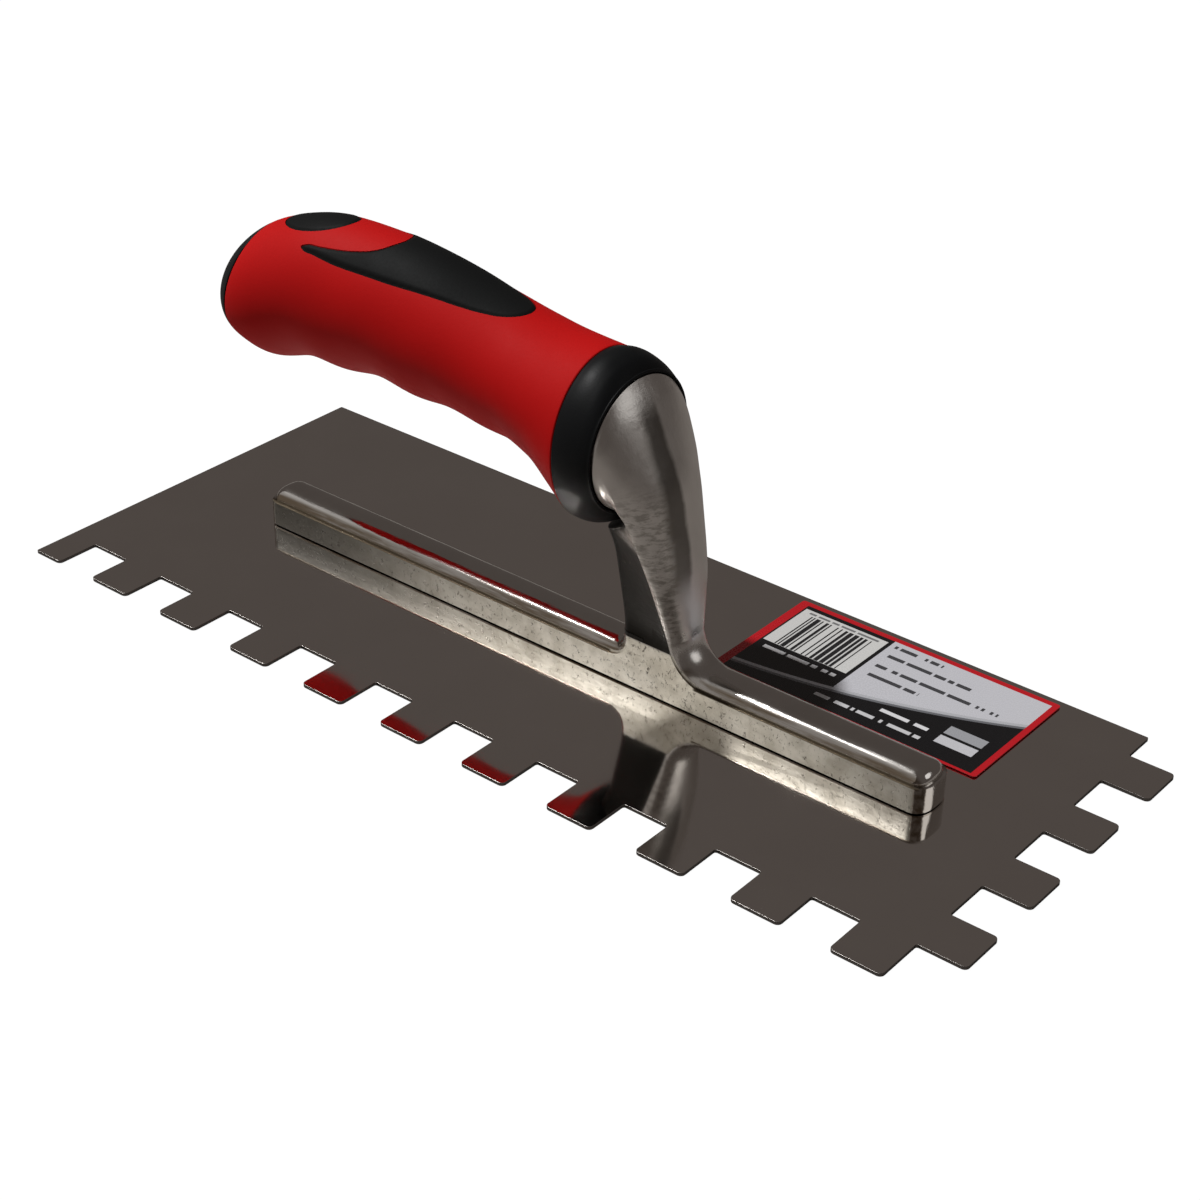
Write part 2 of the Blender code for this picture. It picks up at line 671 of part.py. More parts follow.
def make_fastener(steel):
    _, _, length = tang_axis()
    seat = length + CORE_FLOOR + GAP
    head = seat + WASHER_THICKNESS + GAP
    washer = rod(
        "tang_washer",
        [(seat, WASHER_RADIUS), (seat + WASHER_THICKNESS, WASHER_RADIUS)],
        24,
        steel,
    )
    over = 0.001
    hole = rod(
        "washer_hole",
        [(seat - over, SCREW_RADIUS + GAP), (seat + WASHER_THICKNESS + over, SCREW_RADIUS + GAP)],
        16,
    )
    boolean(washer, hole, "DIFFERENCE")
    tip = head - SCREW_LENGTH
    screw = rod(
        "tang_screw",
        [
            (tip, SCREW_RADIUS - 0.0005),
            (tip + 0.0005, SCREW_RADIUS),
            (head, SCREW_RADIUS),
            (head, SCREW_HEAD_RADIUS),
            (head + 0.6 * SCREW_HEAD_HEIGHT, SCREW_HEAD_RADIUS),
            (head + SCREW_HEAD_HEIGHT, 0.6 * SCREW_HEAD_RADIUS),
        ],
        16,
        steel,
    )
    corner = SCREW_SOCKET / math.sqrt(3)  # from the hexagon's centre to its corner
    floor, rim = head + 0.3 * SCREW_HEAD_HEIGHT, head + SCREW_HEAD_HEIGHT
    socket = rod("screw_socket", [(floor, corner), (rim + over, corner)], 6)
    boolean(screw, socket, "DIFFERENCE")


def make_cap(plastic):
    start, along, length = tang_axis()
    front = CAP_FRONT - GAP / 2
    rings = []
    for t in (0, 0.2, 0.4, 0.58, 0.74, 0.86, 0.94, 0.985):  # closer together towards the dome's tip
        x = front + (HANDLE_END - front) * t
        rings.append(grip_ring(x, 0.0, lean_at(x) * (x - HANDLE_END) / CAP_LENGTH))
    cap = loft("end_cap", rings, plastic)
    behind = (start[0] - front) / -along[0]
    plug = rod("cap_plug", [(behind - CAP_PLUG, WASHER_RADIUS), (behind + 0.004, WASHER_RADIUS)], 24)
    boolean(cap, plug, "UNION")
    return cap


# ---------------------------------------------------------------- finishes and assembly
def build():
    clear_scene()
    stainless = material("stainless_blade", (0.40, 0.38, 0.36), 0.12, 1.0)
    rivet_steel = material("rivet_steel", (0.52, 0.51, 0.50), 0.30, 1.0)
    aluminium = material("die_cast_aluminium", (0.60, 0.58, 0.55), 0.28, 1.0)
    red = material("red_soft_grip", (0.42, 0.008, 0.008), 0.48)
    black = material("black_soft_grip", (0.010, 0.010, 0.011), 0.42)
    hard = material("black_polypropylene", (0.012, 0.012, 0.013), 0.35)
    paper = material("printed_label", (0.55, 0.03, 0.03), 0.35)
    make_blade(stainless)
    make_rivets(rivet_steel)
    make_label(paper)
    make_mounting(aluminium)
    make_core(hard)
    make_sleeve(red)
    make_inlays(black)
    make_collar(hard)
    make_cap(hard)
    make_fastener(rivet_steel)


build()
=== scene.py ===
import math
from functools import partial

import bmesh
import bpy
import numpy as np
from mathutils import Matrix, Vector


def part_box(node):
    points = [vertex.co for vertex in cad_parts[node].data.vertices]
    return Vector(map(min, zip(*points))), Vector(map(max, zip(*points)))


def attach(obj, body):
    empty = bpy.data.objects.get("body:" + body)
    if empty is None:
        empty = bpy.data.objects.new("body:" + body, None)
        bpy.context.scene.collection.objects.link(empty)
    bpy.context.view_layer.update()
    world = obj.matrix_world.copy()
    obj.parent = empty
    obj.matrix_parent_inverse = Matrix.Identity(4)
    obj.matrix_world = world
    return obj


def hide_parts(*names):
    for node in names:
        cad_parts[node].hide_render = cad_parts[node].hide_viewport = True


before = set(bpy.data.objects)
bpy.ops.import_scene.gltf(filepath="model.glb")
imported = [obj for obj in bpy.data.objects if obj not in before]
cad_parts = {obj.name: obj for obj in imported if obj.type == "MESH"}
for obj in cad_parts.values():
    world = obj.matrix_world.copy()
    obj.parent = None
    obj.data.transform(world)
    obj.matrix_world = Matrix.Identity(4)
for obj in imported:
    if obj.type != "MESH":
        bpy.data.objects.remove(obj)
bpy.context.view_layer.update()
print("frame loaded:", len(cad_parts), "nodes")

mm = 0.001
scene = bpy.context.scene
scene.view_settings.view_transform = "Standard"


def gridFaces(rows, columns, ends=True):
    # Quads between each ring and the next, round every ring, and one flat face at either end.
    low = (np.arange(rows - 1)[:, None] * columns + np.arange(columns)).ravel()
    side = (np.arange(rows - 1)[:, None] * columns + (np.arange(columns) + 1) % columns).ravel()
    quads = np.column_stack([low, side, side + columns, low + columns]).tolist()
    if ends:
        quads.append(list(range(columns))[::-1])
        quads.append(list(range((rows - 1) * columns, rows * columns)))
    return quads


def newPiece(name, points, faces):
    mesh = bpy.data.meshes.new(name)
    mesh.from_pydata(points.tolist(), [], faces)
    mesh.update()
    piece = bpy.data.objects.new(name, mesh)
    scene.collection.objects.link(piece)
    return piece


def skin(name, rings, loop=False):
    # rings is rows x columns x 3; a skin whose volume comes out negative is turned round
    rings = np.asarray(rings, float)
    if loop:
        rings = np.concatenate([rings, rings[:1]])
    rows, columns = rings.shape[:2]
    across = np.roll(rings, -1, axis=1)
    a, b, c, d = rings[:-1], across[:-1], across[1:], rings[1:]
    volume = (a * np.cross(b, c)).sum() + (a * np.cross(c, d)).sum()
    for ring, sign in ((rings[0], -1), (rings[-1], 1)) if not loop else ():
        middle = ring.mean(0)
        volume += sign * (middle * np.cross(ring, np.roll(ring, -1, axis=0))).sum()
    if volume < 0:
        rings = rings[:, ::-1]
    if loop:
        rows -= 1
        faces = np.array(gridFaces(rows + 1, columns, ends=False))
        faces = (faces % (rows * columns)).tolist()
        return newPiece(name, rings[:-1].reshape(-1, 3), faces)
    return newPiece(name, rings.reshape(-1, 3), gridFaces(rows, columns))


def combine(piece, other, operation):
    # an applied Boolean; the other object is used up
    step = piece.modifiers.new(operation, "BOOLEAN")
    step.operation, step.solver, step.object = operation, "MANIFOLD", other
    bpy.context.view_layer.update()
    result = bpy.data.meshes.new_from_object(piece.evaluated_get(bpy.context.evaluated_depsgraph_get()))
    piece.modifiers.clear()
    old, piece.data = piece.data, result
    result.name = piece.name
    bpy.data.meshes.remove(old)
    bpy.data.objects.remove(other, do_unlink=True)
    if not len(result.polygons):
        raise ValueError(f"{piece.name}: {operation} left nothing")


def joined(name, pieces):
    # one mesh of several separate solids
    points, faces, count = [], [], 0
    for piece in pieces:
        co = np.empty(len(piece.data.vertices) * 3)
        piece.data.vertices.foreach_get("co", co)
        points.append(co.reshape(-1, 3))
        faces += [[v + count for v in polygon.vertices] for polygon in piece.data.polygons]
        count += len(co) // 3
        bpy.data.objects.remove(piece, do_unlink=True)
    return newPiece(name, np.concatenate(points), faces)


def mended(mesh, reach=0.003 * mm):
    # a Boolean leaves points almost on top of each other; they become one, and slivers go
    work = bmesh.new()
    work.from_mesh(mesh)
    bmesh.ops.triangulate(work, faces=work.faces)
    bmesh.ops.remove_doubles(work, verts=work.verts, dist=reach)
    bmesh.ops.dissolve_degenerate(work, edges=work.edges, dist=reach)
    work.to_mesh(mesh)
    work.free()


def finish(piece, material, replaced, sharp=28):
    mended(piece.data)
    piece.data.materials.clear()
    piece.data.materials.append(material)
    piece.data.shade_smooth()
    piece.data.set_sharp_from_angle(angle=math.radians(sharp))
    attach(piece, "root")
    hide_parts(replaced)
    print("made", piece.name, len(piece.data.polygons), "faces")
    return piece


def smoothCurve(x, knots):
    # cubic pieces through (x, value) knots, each knot's slope taken from its neighbours
    knots = np.asarray(knots, float)
    at, value = knots[:, 0], knots[:, 1]
    slope = np.gradient(value, at)
    k = np.clip(np.searchsorted(at, x, "right") - 1, 0, len(at) - 2)
    span = at[k + 1] - at[k]
    t = np.clip((x - at[k]) / span, 0.0, 1.0)
    start = value[k] * (1 + 2 * t) * (1 - t) ** 2 + slope[k] * span * t * (1 - t) ** 2
    return start + value[k + 1] * t * t * (3 - 2 * t) + slope[k + 1] * span * t * t * (t - 1)


def hexColour(text):
    channels = np.array([int(text[i:i + 2], 16) for i in (1, 3, 5)]) / 255
    linear = np.where(channels <= 0.04045, channels / 12.92, ((channels + 0.055) / 1.055) ** 2.4)
    return (*linear.tolist(), 1.0)


usual = {"MapRange": {"interpolation_type": "SMOOTHSTEP"}, "Mix": {"data_type": "RGBA"}}


def addNode(tree, kind, inputs=(), out=0, **settings):
    # adds a node with its settings, fills its sockets, by place or by name, with values, hex colours
    # or links, and gives back one output, or all of them for out=None
    node = tree.nodes.new("ShaderNode" + kind)
    for key, value in (usual.get(kind, {}) | settings).items():
        setattr(node, key, value)
    for key, value in inputs.items() if isinstance(inputs, dict) else enumerate(inputs):
        if isinstance(value, bpy.types.NodeSocket):
            tree.links.new(value, node.inputs[key])
        else:
            node.inputs[key].default_value = hexColour(value) if isinstance(value, str) else value
    return node.outputs if out is None else node.outputs[out]


def startMaterial(name, **sockets):
    made = bpy.data.materials.new(name)
    made.use_nodes = True
    tree = made.node_tree
    shader = tree.nodes["Principled BSDF"]
    for key, value in sockets.items():
        shader.inputs[key.replace("_", " ")].default_value = value
    add = partial(addNode, tree)  # adds a node to this material
    return made, add, shader, add("TexCoord", out="Object")


def perMetre(size):
    # noise and wave scales are cycles a metre, so a feature of `size` mm needs this scale
    return 1 / (size * mm)


def connect(shader, colour=None, roughness=None, normal=None):
    for key, value in (("Base Color", colour), ("Roughness", roughness), ("Normal", normal)):
        if value is not None:
            shader.id_data.links.new(value, shader.inputs[key])


bladeLow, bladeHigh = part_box("blade")
collarLow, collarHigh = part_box("front_collar")
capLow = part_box("end_cap")[0]
mountLow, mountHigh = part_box("mounting")
labelLow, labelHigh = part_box("label")
rivetPlaces = [sum(c.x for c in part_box(f"rivet_{i + 1}")) / 2 for i in range(9)]
bladeCentre = (bladeLow + bladeHigh) / 2
gap = 0.3 * mm


camera = {
    "place": (0.318365, -0.390324, 0.315156),  # from the middle of the blade's underside
    "target": (-0.01174, 0.022082, 0.0),
    "roll": math.radians(1.228),
    "lens": 71.372,
}


def makeCamera():
    origin = Vector((bladeCentre.x, bladeCentre.y, bladeLow.z))
    place, target = Vector(camera["place"]), Vector(camera["target"])
    back = (place - target).normalized()
    right = Vector((0, 0, 1)).cross(back).normalized()
    up = back.cross(right)
    c, s = math.cos(camera["roll"]), math.sin(camera["roll"])
    right, up = right * c + up * s, up * c - right * s
    data = bpy.data.cameras.new("camera")
    data.lens, data.sensor_width, data.clip_start = camera["lens"], 36, 0.01
    made = bpy.data.objects.new("camera", data)
    turn = Matrix((right, up, back)).transposed().to_4x4()
    made.matrix_world = Matrix.Translation(place + origin) @ turn
    scene.collection.objects.link(made)
    scene.camera = made


makeCamera()
print("camera set")


def mirrorStainless():
    # stainless sheet, ground and polished: a dark clear mirror, very slightly wavy, with faint smears
    made, add, shader, place = startMaterial("mirror_stainless", Metallic=1.0)
    smear = add("TexNoise", {"Vector": place, "Scale": perMetre(28), "Detail": 4, "Roughness": 0.55})
    along = add("Mapping", {"Vector": place, "Scale": (0.05, 1, 1)})
    # grinding lines 0.5 mm apart
    fine = add("TexNoise", {"Vector": along, "Scale": perMetre(0.5), "Detail": 2})
    facing = add("SeparateXYZ", {0: add("NewGeometry", out="Normal")}, out="Z")
    facing = add("Math", [facing], operation="ABSOLUTE")
    edge = add("MapRange", [facing, 0.98, 0.90])  # the sheared edges are dull
    colour = add("Mix", {0: smear, 6: "#dfdad5", 7: "#e8e4df"}, out=2)
    colour = add("Mix", {0: edge, 6: colour, 7: "#6f6b68"}, out=2)
    rough = add("MapRange", [smear, 0.3, 0.75, 0.035, 0.085])
    rough = add("Math", [fine, 0.02, rough], operation="MULTIPLY_ADD")
    rough = add("Math", [edge, 0.35, rough], operation="MULTIPLY_ADD")
    wave = add("TexNoise", {"Vector": place, "Scale": perMetre(45), "Detail": 1, "Roughness": 0.4})
    connect(shader, colour, rough, add("Bump", {"Height": wave, "Distance": 0.05 * mm}))
    return made


casting = {
    # each pattern: stretch along X, Y and Z, feature size in mm, detail, roughness
    "patterns": {
        "buffed": ((0.10, 1.6, 1), 2.6, 4, 0.65),  # long shallow streaks left by the buffing wheel
        "pits": (None, 1.6, 6, 0.7),
        "flow": (None, 8, 5, 0.62),
        "crazing": ((1.5, 1, 0.8), 2.2, 4, 0.6),
        "wander": (None, 9, 3, 0.6),  # how far the painted reflection band strays from a straight line
        "chatter": ((0.5, 0.5, 1.7), 1.7, 4, 0.7),
        "cross": ((0.35, 0.35, 1.5), 1.6, 4, 0.65),
        "patch": (None, 14, 3, 0.5),
    },
    "buffed": ("#d9d5d0", "#c6c2bd"),
    "asCast": ("#c2bdb0", "#e4e0d5"),
    "checks": "#5b544a",
    "ends": "#4a463f",  # painted shade: the walls are darkened towards both ends, and more so to the rear
    "rear": "#2e2b27",
    "flank": "#7d6f5e",
    # painted shade for the shank's hollow sides
    "hollow": ("#211f1c", "#45423b"),
    "ledge": "#6b6152",
    # painted reflection: the dark band down the shank's front
    "reflectionBand": "#48433c",
    "chatter": "#7a756d",
    "crownRough": (0.06, 0.11),
    "wallRough": 0.42,  # each of these is added to the crown's
    "shankRough": 0.24,
    "hollowRough": 0.2,
    "ledgeRough": 0.3,
    "elbowRough": 0.14,
    "bumps": (0.22, 0.06, 0.06),  # mm deep: walls, shank ripples, buffing streaks
}


def mask(add, *windows):
    # the product of its windows: each is a ready share, or a value with the two levels between which
    # the share goes smoothly from 0 to 1
    shares = [add("MapRange", window) if isinstance(window, tuple) else window for window in windows]
    share = shares[0]
    for other in shares[1:]:
        share = add("Math", [share, other], operation="MULTIPLY")
    return share


def castAluminium():
    # die-cast aluminium: buffed crowns that mirror the room, as-cast side walls with pits and
    # flow marks, and faint cross ripples down the shank's front
    made, add, shader, place = startMaterial("die_cast_aluminium", Metallic=1.0)
    x, y, z = add("SeparateXYZ", [place], out=None)
    facing = add("SeparateXYZ", [add("NewGeometry", out="Normal")], out="Y")
    aside, beside = (add("Math", [value], operation="ABSOLUTE") for value in (facing, y))
    wall = mask(add, (aside, 0.93, 0.985), (z, 15.4 * mm, 14.6 * mm))
    pattern = {}
    for name, (stretch, size, detail, coarse) in casting["patterns"].items():
        where = add("Mapping", {"Vector": place, "Scale": stretch}) if stretch else place
        inputs = {"Vector": where, "Scale": perMetre(size), "Detail": detail, "Roughness": coarse}
        pattern[name] = add("TexNoise", inputs)
    buffed, pits, flow = pattern["buffed"], pattern["pits"], pattern["flow"]

    # fine dark checks: where a noise crosses its middle value, and only in patches
    crossing = add("Math", [pattern["crazing"], 0.5], operation="SUBTRACT")
    crossing = add("Math", [crossing], operation="ABSOLUTE")
    checks = mask(add, (crossing, 0.022, 0.006), (pits, 0.50, 0.60))
    ends, foot = (add("Math", [x, at * mm], operation="SUBTRACT") for at in (22, 27))
    ends, foot = (add("Math", [away], operation="ABSOLUTE") for away in (ends, foot))
    first, second = casting["asCast"]
    cast = add("Mix", {0: mask(add, (flow, 0.32, 0.68)), 6: first, 7: second}, out=2)
    # the checks are real marks; the ends and rear tints are painted shade on the walls
    for share, tint in ((checks, "checks"), (mask(add, (ends, 8 * mm, 118 * mm, 0.0, 0.88)), "ends"),
                        (mask(add, (x, -20 * mm, -102 * mm, 0.0, 0.6)), "rear")):
        cast = add("Mix", {0: share, 6: cast, 7: casting[tint]}, out=2)

    # the buffing wheel misses the lower edge of the crown, which keeps brown streaks
    first, second = casting["buffed"]
    bright = add("Mix", {0: flow, 6: first, 7: second}, out=2)
    streaks = (buffed, 0.35, 0.6, 0.35, 1.0)
    flank = mask(add, (beside, 3.9 * mm, 5.0 * mm), (z, 13.0 * mm, 11.5 * mm), streaks)
    bright = add("Mix", {0: flank, 6: bright, 7: casting["flank"]}, out=2)

    # the hollow sides of the shank are never buffed, and their dark colour is painted shade
    ridge = add("Math", [z, 0.245, x], operation="MULTIPLY_ADD")
    web = mask(add, (ridge, 36.6 * mm, 36.2 * mm), (z, 14.9 * mm, 15.2 * mm), (z, 46 * mm, 41 * mm))
    first, second = casting["hollow"]
    dark = add("Mix", {0: mask(add, (pits, 0.62, 0.70)), 6: first, 7: second}, out=2)

    # the ledge under the crown is left rough, and between the heel and the elbow there is none:
    # the wall runs straight up into the shank
    ledge = mask(add, (z, 7.9 * mm, 8.1 * mm), (z, 9.0 * mm, 8.5 * mm), (beside, 5.3 * mm, 5.6 * mm),
                 (foot, 12.5 * mm, 13.5 * mm))
    colour = add("Mix", {0: wall, 6: bright, 7: cast}, out=2)
    colour = add("Mix", {0: ledge, 6: colour, 7: casting["ledge"]}, out=2)

    # the shank's front is ground by hand, with fine level chatter on the near flat; between two ground
    # flats a dark band of painted reflection runs from the middle of the head down to the left
    shankPart = mask(add, (z, 13 * mm, 24 * mm))
    middle = add("Math", [pattern["wander"], 2.4 * mm, y], operation="MULTIPLY_ADD")
    middle = add("Math", [z, -0.03, middle], operation="MULTIPLY_ADD")
    bandHeight = mask(add, (z, 27 * mm, 37 * mm), (z, 79 * mm, 71 * mm))
    reflectionBand = mask(add, (middle, -7.6 * mm, -4.4 * mm), (middle, 0.6 * mm, -1.2 * mm), bandHeight, 0.8)
    near = mask(add, (middle, -3.0 * mm, -5.5 * mm), shankPart, (z, 62 * mm, 50 * mm),
                (pattern["chatter"], 0.42, 0.62, 0, 0.6))
    # the band is painted reflection and the hollow sides are painted shade; the chatter is a real mark
    for share, tint in ((reflectionBand, casting["reflectionBand"]), (near, casting["chatter"]), (web, dark)):
        colour = add("Mix", {0: share, 6: colour, 7: tint}, out=2)
    ripple = mask(add, pattern["cross"], shankPart, (pattern["patch"], 0.42, 0.6))
    elbow = mask(add, (x, 29 * mm, 33 * mm), (x, 50 * mm, 40 * mm), (z, 22 * mm, 16 * mm))
    rough = mask(add, (buffed, 0.3, 0.7, *casting["crownRough"]))
    for share, part in ((wall, "wallRough"), (shankPart, "shankRough"), (web, "hollowRough"),
                        (ledge, "ledgeRough"), (elbow, "elbowRough")):
        rough = add("Math", [share, casting[part], rough], operation="MULTIPLY_ADD")
    deep = mask(add, add("Math", [flow, checks], operation="SUBTRACT"), wall)
    normal = None
    for height, depth in zip((deep, ripple, buffed), casting["bumps"]):
        inputs = {"Height": height, "Distance": depth * mm} | ({"Normal": normal} if normal else {})
        normal = add("Bump", inputs)
    connect(shader, colour, rough, normal)
    return made


def softRubber(name, colours, rough, grain):
    # moulded thermoplastic rubber: matt and slightly dusty, with a fine even mould grain
    made, add, shader, place = startMaterial(name, Metallic=0.0, IOR=1.5)
    shader.inputs["Specular IOR Level"].default_value = 0.08
    cloud = add("TexNoise", {"Vector": place, "Scale": perMetre(22), "Detail": 3})
    speck = add("TexNoise", {"Vector": place, "Scale": perMetre(0.7), "Detail": 2, "Roughness": 0.6})
    colour = add("Mix", {0: cloud, 6: colours[0], 7: colours[1]}, out=2)
    level = add("MapRange", [cloud, 0.3, 0.7, rough - 0.08, rough])
    level = add("Math", [speck, 0.10, level], operation="MULTIPLY_ADD")
    connect(shader, colour, level, add("Bump", {"Height": speck, "Distance": grain * mm}))
    return made


def hardPlastic(name, colours, rough, grain=0.02):
    # injection-moulded polypropylene: satin, with a trace of mould texture
    made, add, shader, place = startMaterial(name, IOR=1.49)
    shader.inputs["Specular IOR Level"].default_value = 0.1
    cloud = add("TexNoise", {"Vector": place, "Scale": perMetre(12), "Detail": 3})
    speck = add("TexNoise", {"Vector": place, "Scale": perMetre(0.5), "Detail": 2})
    colour = add("Mix", {0: cloud, 6: colours[0], 7: colours[1]}, out=2)
    level = add("MapRange", [cloud, 0.3, 0.7, rough - 0.05, rough + 0.05])
    connect(shader, colour, level, add("Bump", {"Height": speck, "Distance": grain * mm}))
    return made


def turnedSteel(name, colour, rough):
    # steel fastener: fine turning rings
    made, add, shader, place = startMaterial(name, Metallic=1.0)
    cloud = add("TexNoise", {"Vector": place, "Scale": perMetre(2), "Detail": 3, "Roughness": 0.6})
    across = add("Mapping", {"Vector": place, "Scale": (1, 1, 0.2)})
    rings = add("TexNoise", {"Vector": across, "Scale": perMetre(0.25), "Detail": 2})
    tone = add("Mix", {0: cloud, 6: colour, 7: "#8d8a86"}, out=2)
    level = add("Math", [rings, 0.15, rough], operation="MULTIPLY_ADD")
    connect(shader, tone, level, add("Bump", {"Height": rings, "Distance": 0.01 * mm}))
    return made


blade = {
    "long": (13.23 * mm, 12.58 * mm),  # tooth and notch along the long side
    "short": (13.09 * mm, 12.99 * mm),
    "firstTooth": 13.24 * mm,
    "depth": 12.15 * mm,
    "tip": 1.3 * mm,
    "root": 0.6 * mm,
    "edge": 0.06 * mm,
}


def bladeOutline():
    # Square teeth counted back from the short side's root line, every corner turned on a small arc.
    rear, front, near, far = bladeLow.x, bladeHigh.x, bladeLow.y, bladeHigh.y
    tooth, notch = blade["long"]
    rootY, rootX = near + blade["depth"], front - blade["depth"]
    tip, root, corners, end = blade["tip"], blade["root"], [], rootX
    while end > rear + 0.25 * tooth:
        start = max(end - tooth, rear)
        tail = [(start, rootY, root), (start, near, tip)] if start > rear else [(start, near, 0.4 * mm)]
        corners = tail + [(end, near, tip), (end, rootY, root)] + corners
        end -= tooth + notch
        last = start
    if last > rear:
        corners = [(rear, rootY, 0.0)] + corners
    corners = corners[:-1]
    tooth, notch = blade["short"]
    start = near + blade["firstTooth"]
    corners.append((rootX, start, root))
    while start + tooth < far:
        end = start + tooth
        corners += [(front, start, tip), (front, end, tip), (rootX, end, root)]
        start = end + notch
        if start + 0.25 * tooth < far:
            corners.append((rootX, start, root))
    if start + 0.25 * tooth < far:
        corners += [(front, start, tip), (front, far, 0.0)]
    else:
        corners.append((rootX, far, 0.4 * mm))
    corners.append((rear, far, 0.4 * mm))
    corners = np.array(corners)
    here = corners[:, :2]
    before, after = np.roll(here, 1, 0) - here, np.roll(here, -1, 0) - here
    reach = np.maximum(corners[:, 2:], 0.02 * mm)
    before *= reach / np.linalg.norm(before, axis=1)[:, None]
    after *= reach / np.linalg.norm(after, axis=1)[:, None]
    angle = np.linspace(0, math.pi / 2, 7)[None, :, None]
    arc = (here + before + after)[:, None] - after[:, None] * np.cos(angle)
    return (arc - before[:, None] * np.sin(angle)).reshape(-1, 2)


def inset(outline, distance):
    # each point moves along the mitre of its two edges' normals
    step = np.roll(outline, -1, 0) - outline
    normal = np.column_stack([-step[:, 1], step[:, 0]]) / np.linalg.norm(step, axis=1)[:, None]
    last = np.roll(normal, 1, 0)
    mitre = (normal + last) / (1 + (normal * last).sum(1, keepdims=True))
    return outline + mitre * distance


def levels(outline, rows):
    # Stacks an outline into rings: one ring for each (height, inset) pair.
    return [np.column_stack([inset(outline, by), np.full(len(outline), z)]) for z, by in rows]


def turned(x, y, profile, count=32):
    # a profile of (radius, height) pairs carried round an upright axis
    angle = 2 * np.pi * np.arange(count) / count
    profile = np.array(profile)
    ring = np.stack([np.cos(angle), np.sin(angle)], -1)[None] * profile[:, :1, None]
    height = np.broadcast_to(profile[:, 1, None, None], (len(profile), count, 1))
    return np.concatenate([ring + [x, y], height], -1)


def makeBlade(steel):
    low, high, edge = bladeLow.z, bladeHigh.z, blade["edge"]
    rows = [(low, edge), (low + 0.3 * edge, 0.3 * edge), (low + edge, 0)]
    rows += [(high - edge, 0), (high - 0.3 * edge, 0.3 * edge), (high, edge)]
    piece = skin("blade_plate", levels(bladeOutline(), rows))
    over = 0.4 * mm
    slope = 1.2 / 0.9  # the rivet heads are countersunk from below
    head, shaft = 2.9 * mm + gap, 1.7 * mm + gap
    profile = [(head + over * slope, low - over), (shaft - over * slope, high + over)]
    holes = [skin("hole", turned(x, 0, profile)) for x in rivetPlaces]
    combine(piece, joined("holes", holes), "DIFFERENCE")
    return finish(piece, steel, "blade", sharp=20)


makeBlade(mirrorStainless())


mounting = {
    "half": 6.4 * mm,  # half width of the spine's walls
    "wallTop": 8.2 * mm,
    "top": 11.6 * mm,
    "ledge": 0.7 * mm,  # the crown stands this far inside the walls
    "endRound": 4.2 * mm,
    "endPower": 2.5,
    "shankBack": 16.5 * mm,
    "shankFront": 35.2 * mm,
    "fold": 15.0 * mm,
    "elbow": 8.0 * mm,
    "heel": 2.6 * mm,
    "root": 4.6 * mm,  # how far a bend reaches into the metal behind its crown
}


def barRing(rear, front, endRound, half, count=40):
    # A plan ring of two straight sides and superelliptic ends: |x/r|^p + |y/h|^p = 1 at either end.
    angle = np.linspace(-np.pi / 2, np.pi / 2, count)
    power = 2 / mounting["endPower"]
    c, s = np.abs(np.cos(angle)) ** power, np.sign(np.sin(angle)) * np.abs(np.sin(angle)) ** power
    right = np.column_stack([front - endRound + endRound * c, half * s])
    left = np.column_stack([rear + endRound - endRound * c, -half * s])
    return np.concatenate([right, left])


def bar(name, rear, front, rows):
    # rows of (height, inset, share), the share scaling the end rounding and the width to the ridge
    rings = []
    for z, by, share in rows:
        endRound = mounting["endRound"] * share
        plan = barRing(rear + by, front - by, endRound, (mounting["half"] - by) * share)
        way = np.where(plan[:, 0] > (rear + front) / 2, -1, 1)
        plan[:, 0] += way * mounting["endRound"] * (1 - share)
        rings.append(np.column_stack([plan, np.full(len(plan), z)]))
    return skin(name, rings)


def crownRows():
    # the quarter ellipse from the ledge up to the ridge
    angle = np.radians(np.linspace(0, 88.5, 22))
    low, ledge = mounting["wallTop"], mounting["ledge"]
    rise = mounting["top"] - low
    return [(low - 1.5 * mm, ledge, 1.0)] + [(low + rise * math.sin(a), ledge, math.cos(a)) for a in angle]


def bend(name, start, radius, way, climb, lean):
    # The spine's section carried round a quarter circle from level to upright, way +1 or -1 along X,
    # then on up the shank for a climb in which it sinks into the shank's face by a share of the climb.
    m = mounting
    rise, inner, half = m["top"] - m["wallTop"], m["half"] - m["ledge"], m["half"]
    turn = np.concatenate([np.linspace(0, np.pi / 2, 40), np.full(24, np.pi / 2)])[:, None]
    on = np.concatenate([np.zeros(40), np.linspace(0, climb, 25)[1:]])[:, None]
    angle = np.linspace(0, np.pi, 41)[None]
    width = inner + (half - inner) * np.sin(turn) ** 2
    wall = np.full_like(turn, half)
    across = np.concatenate([wall, wall, width * np.cos(angle), -wall, -wall], 1)
    flat = np.full_like(turn, radius + rise)
    crown = np.repeat(radius + rise * (1 - np.sin(angle)), len(turn), 0)
    out = np.concatenate([flat + m["root"], flat, crown, flat, flat + m["root"]], 1)
    x = start + way * (radius - np.sin(turn) * out - lean * on)
    z = m["top"] + radius - np.cos(turn) * out + on
    return skin(name, np.stack([x, across, z], -1))


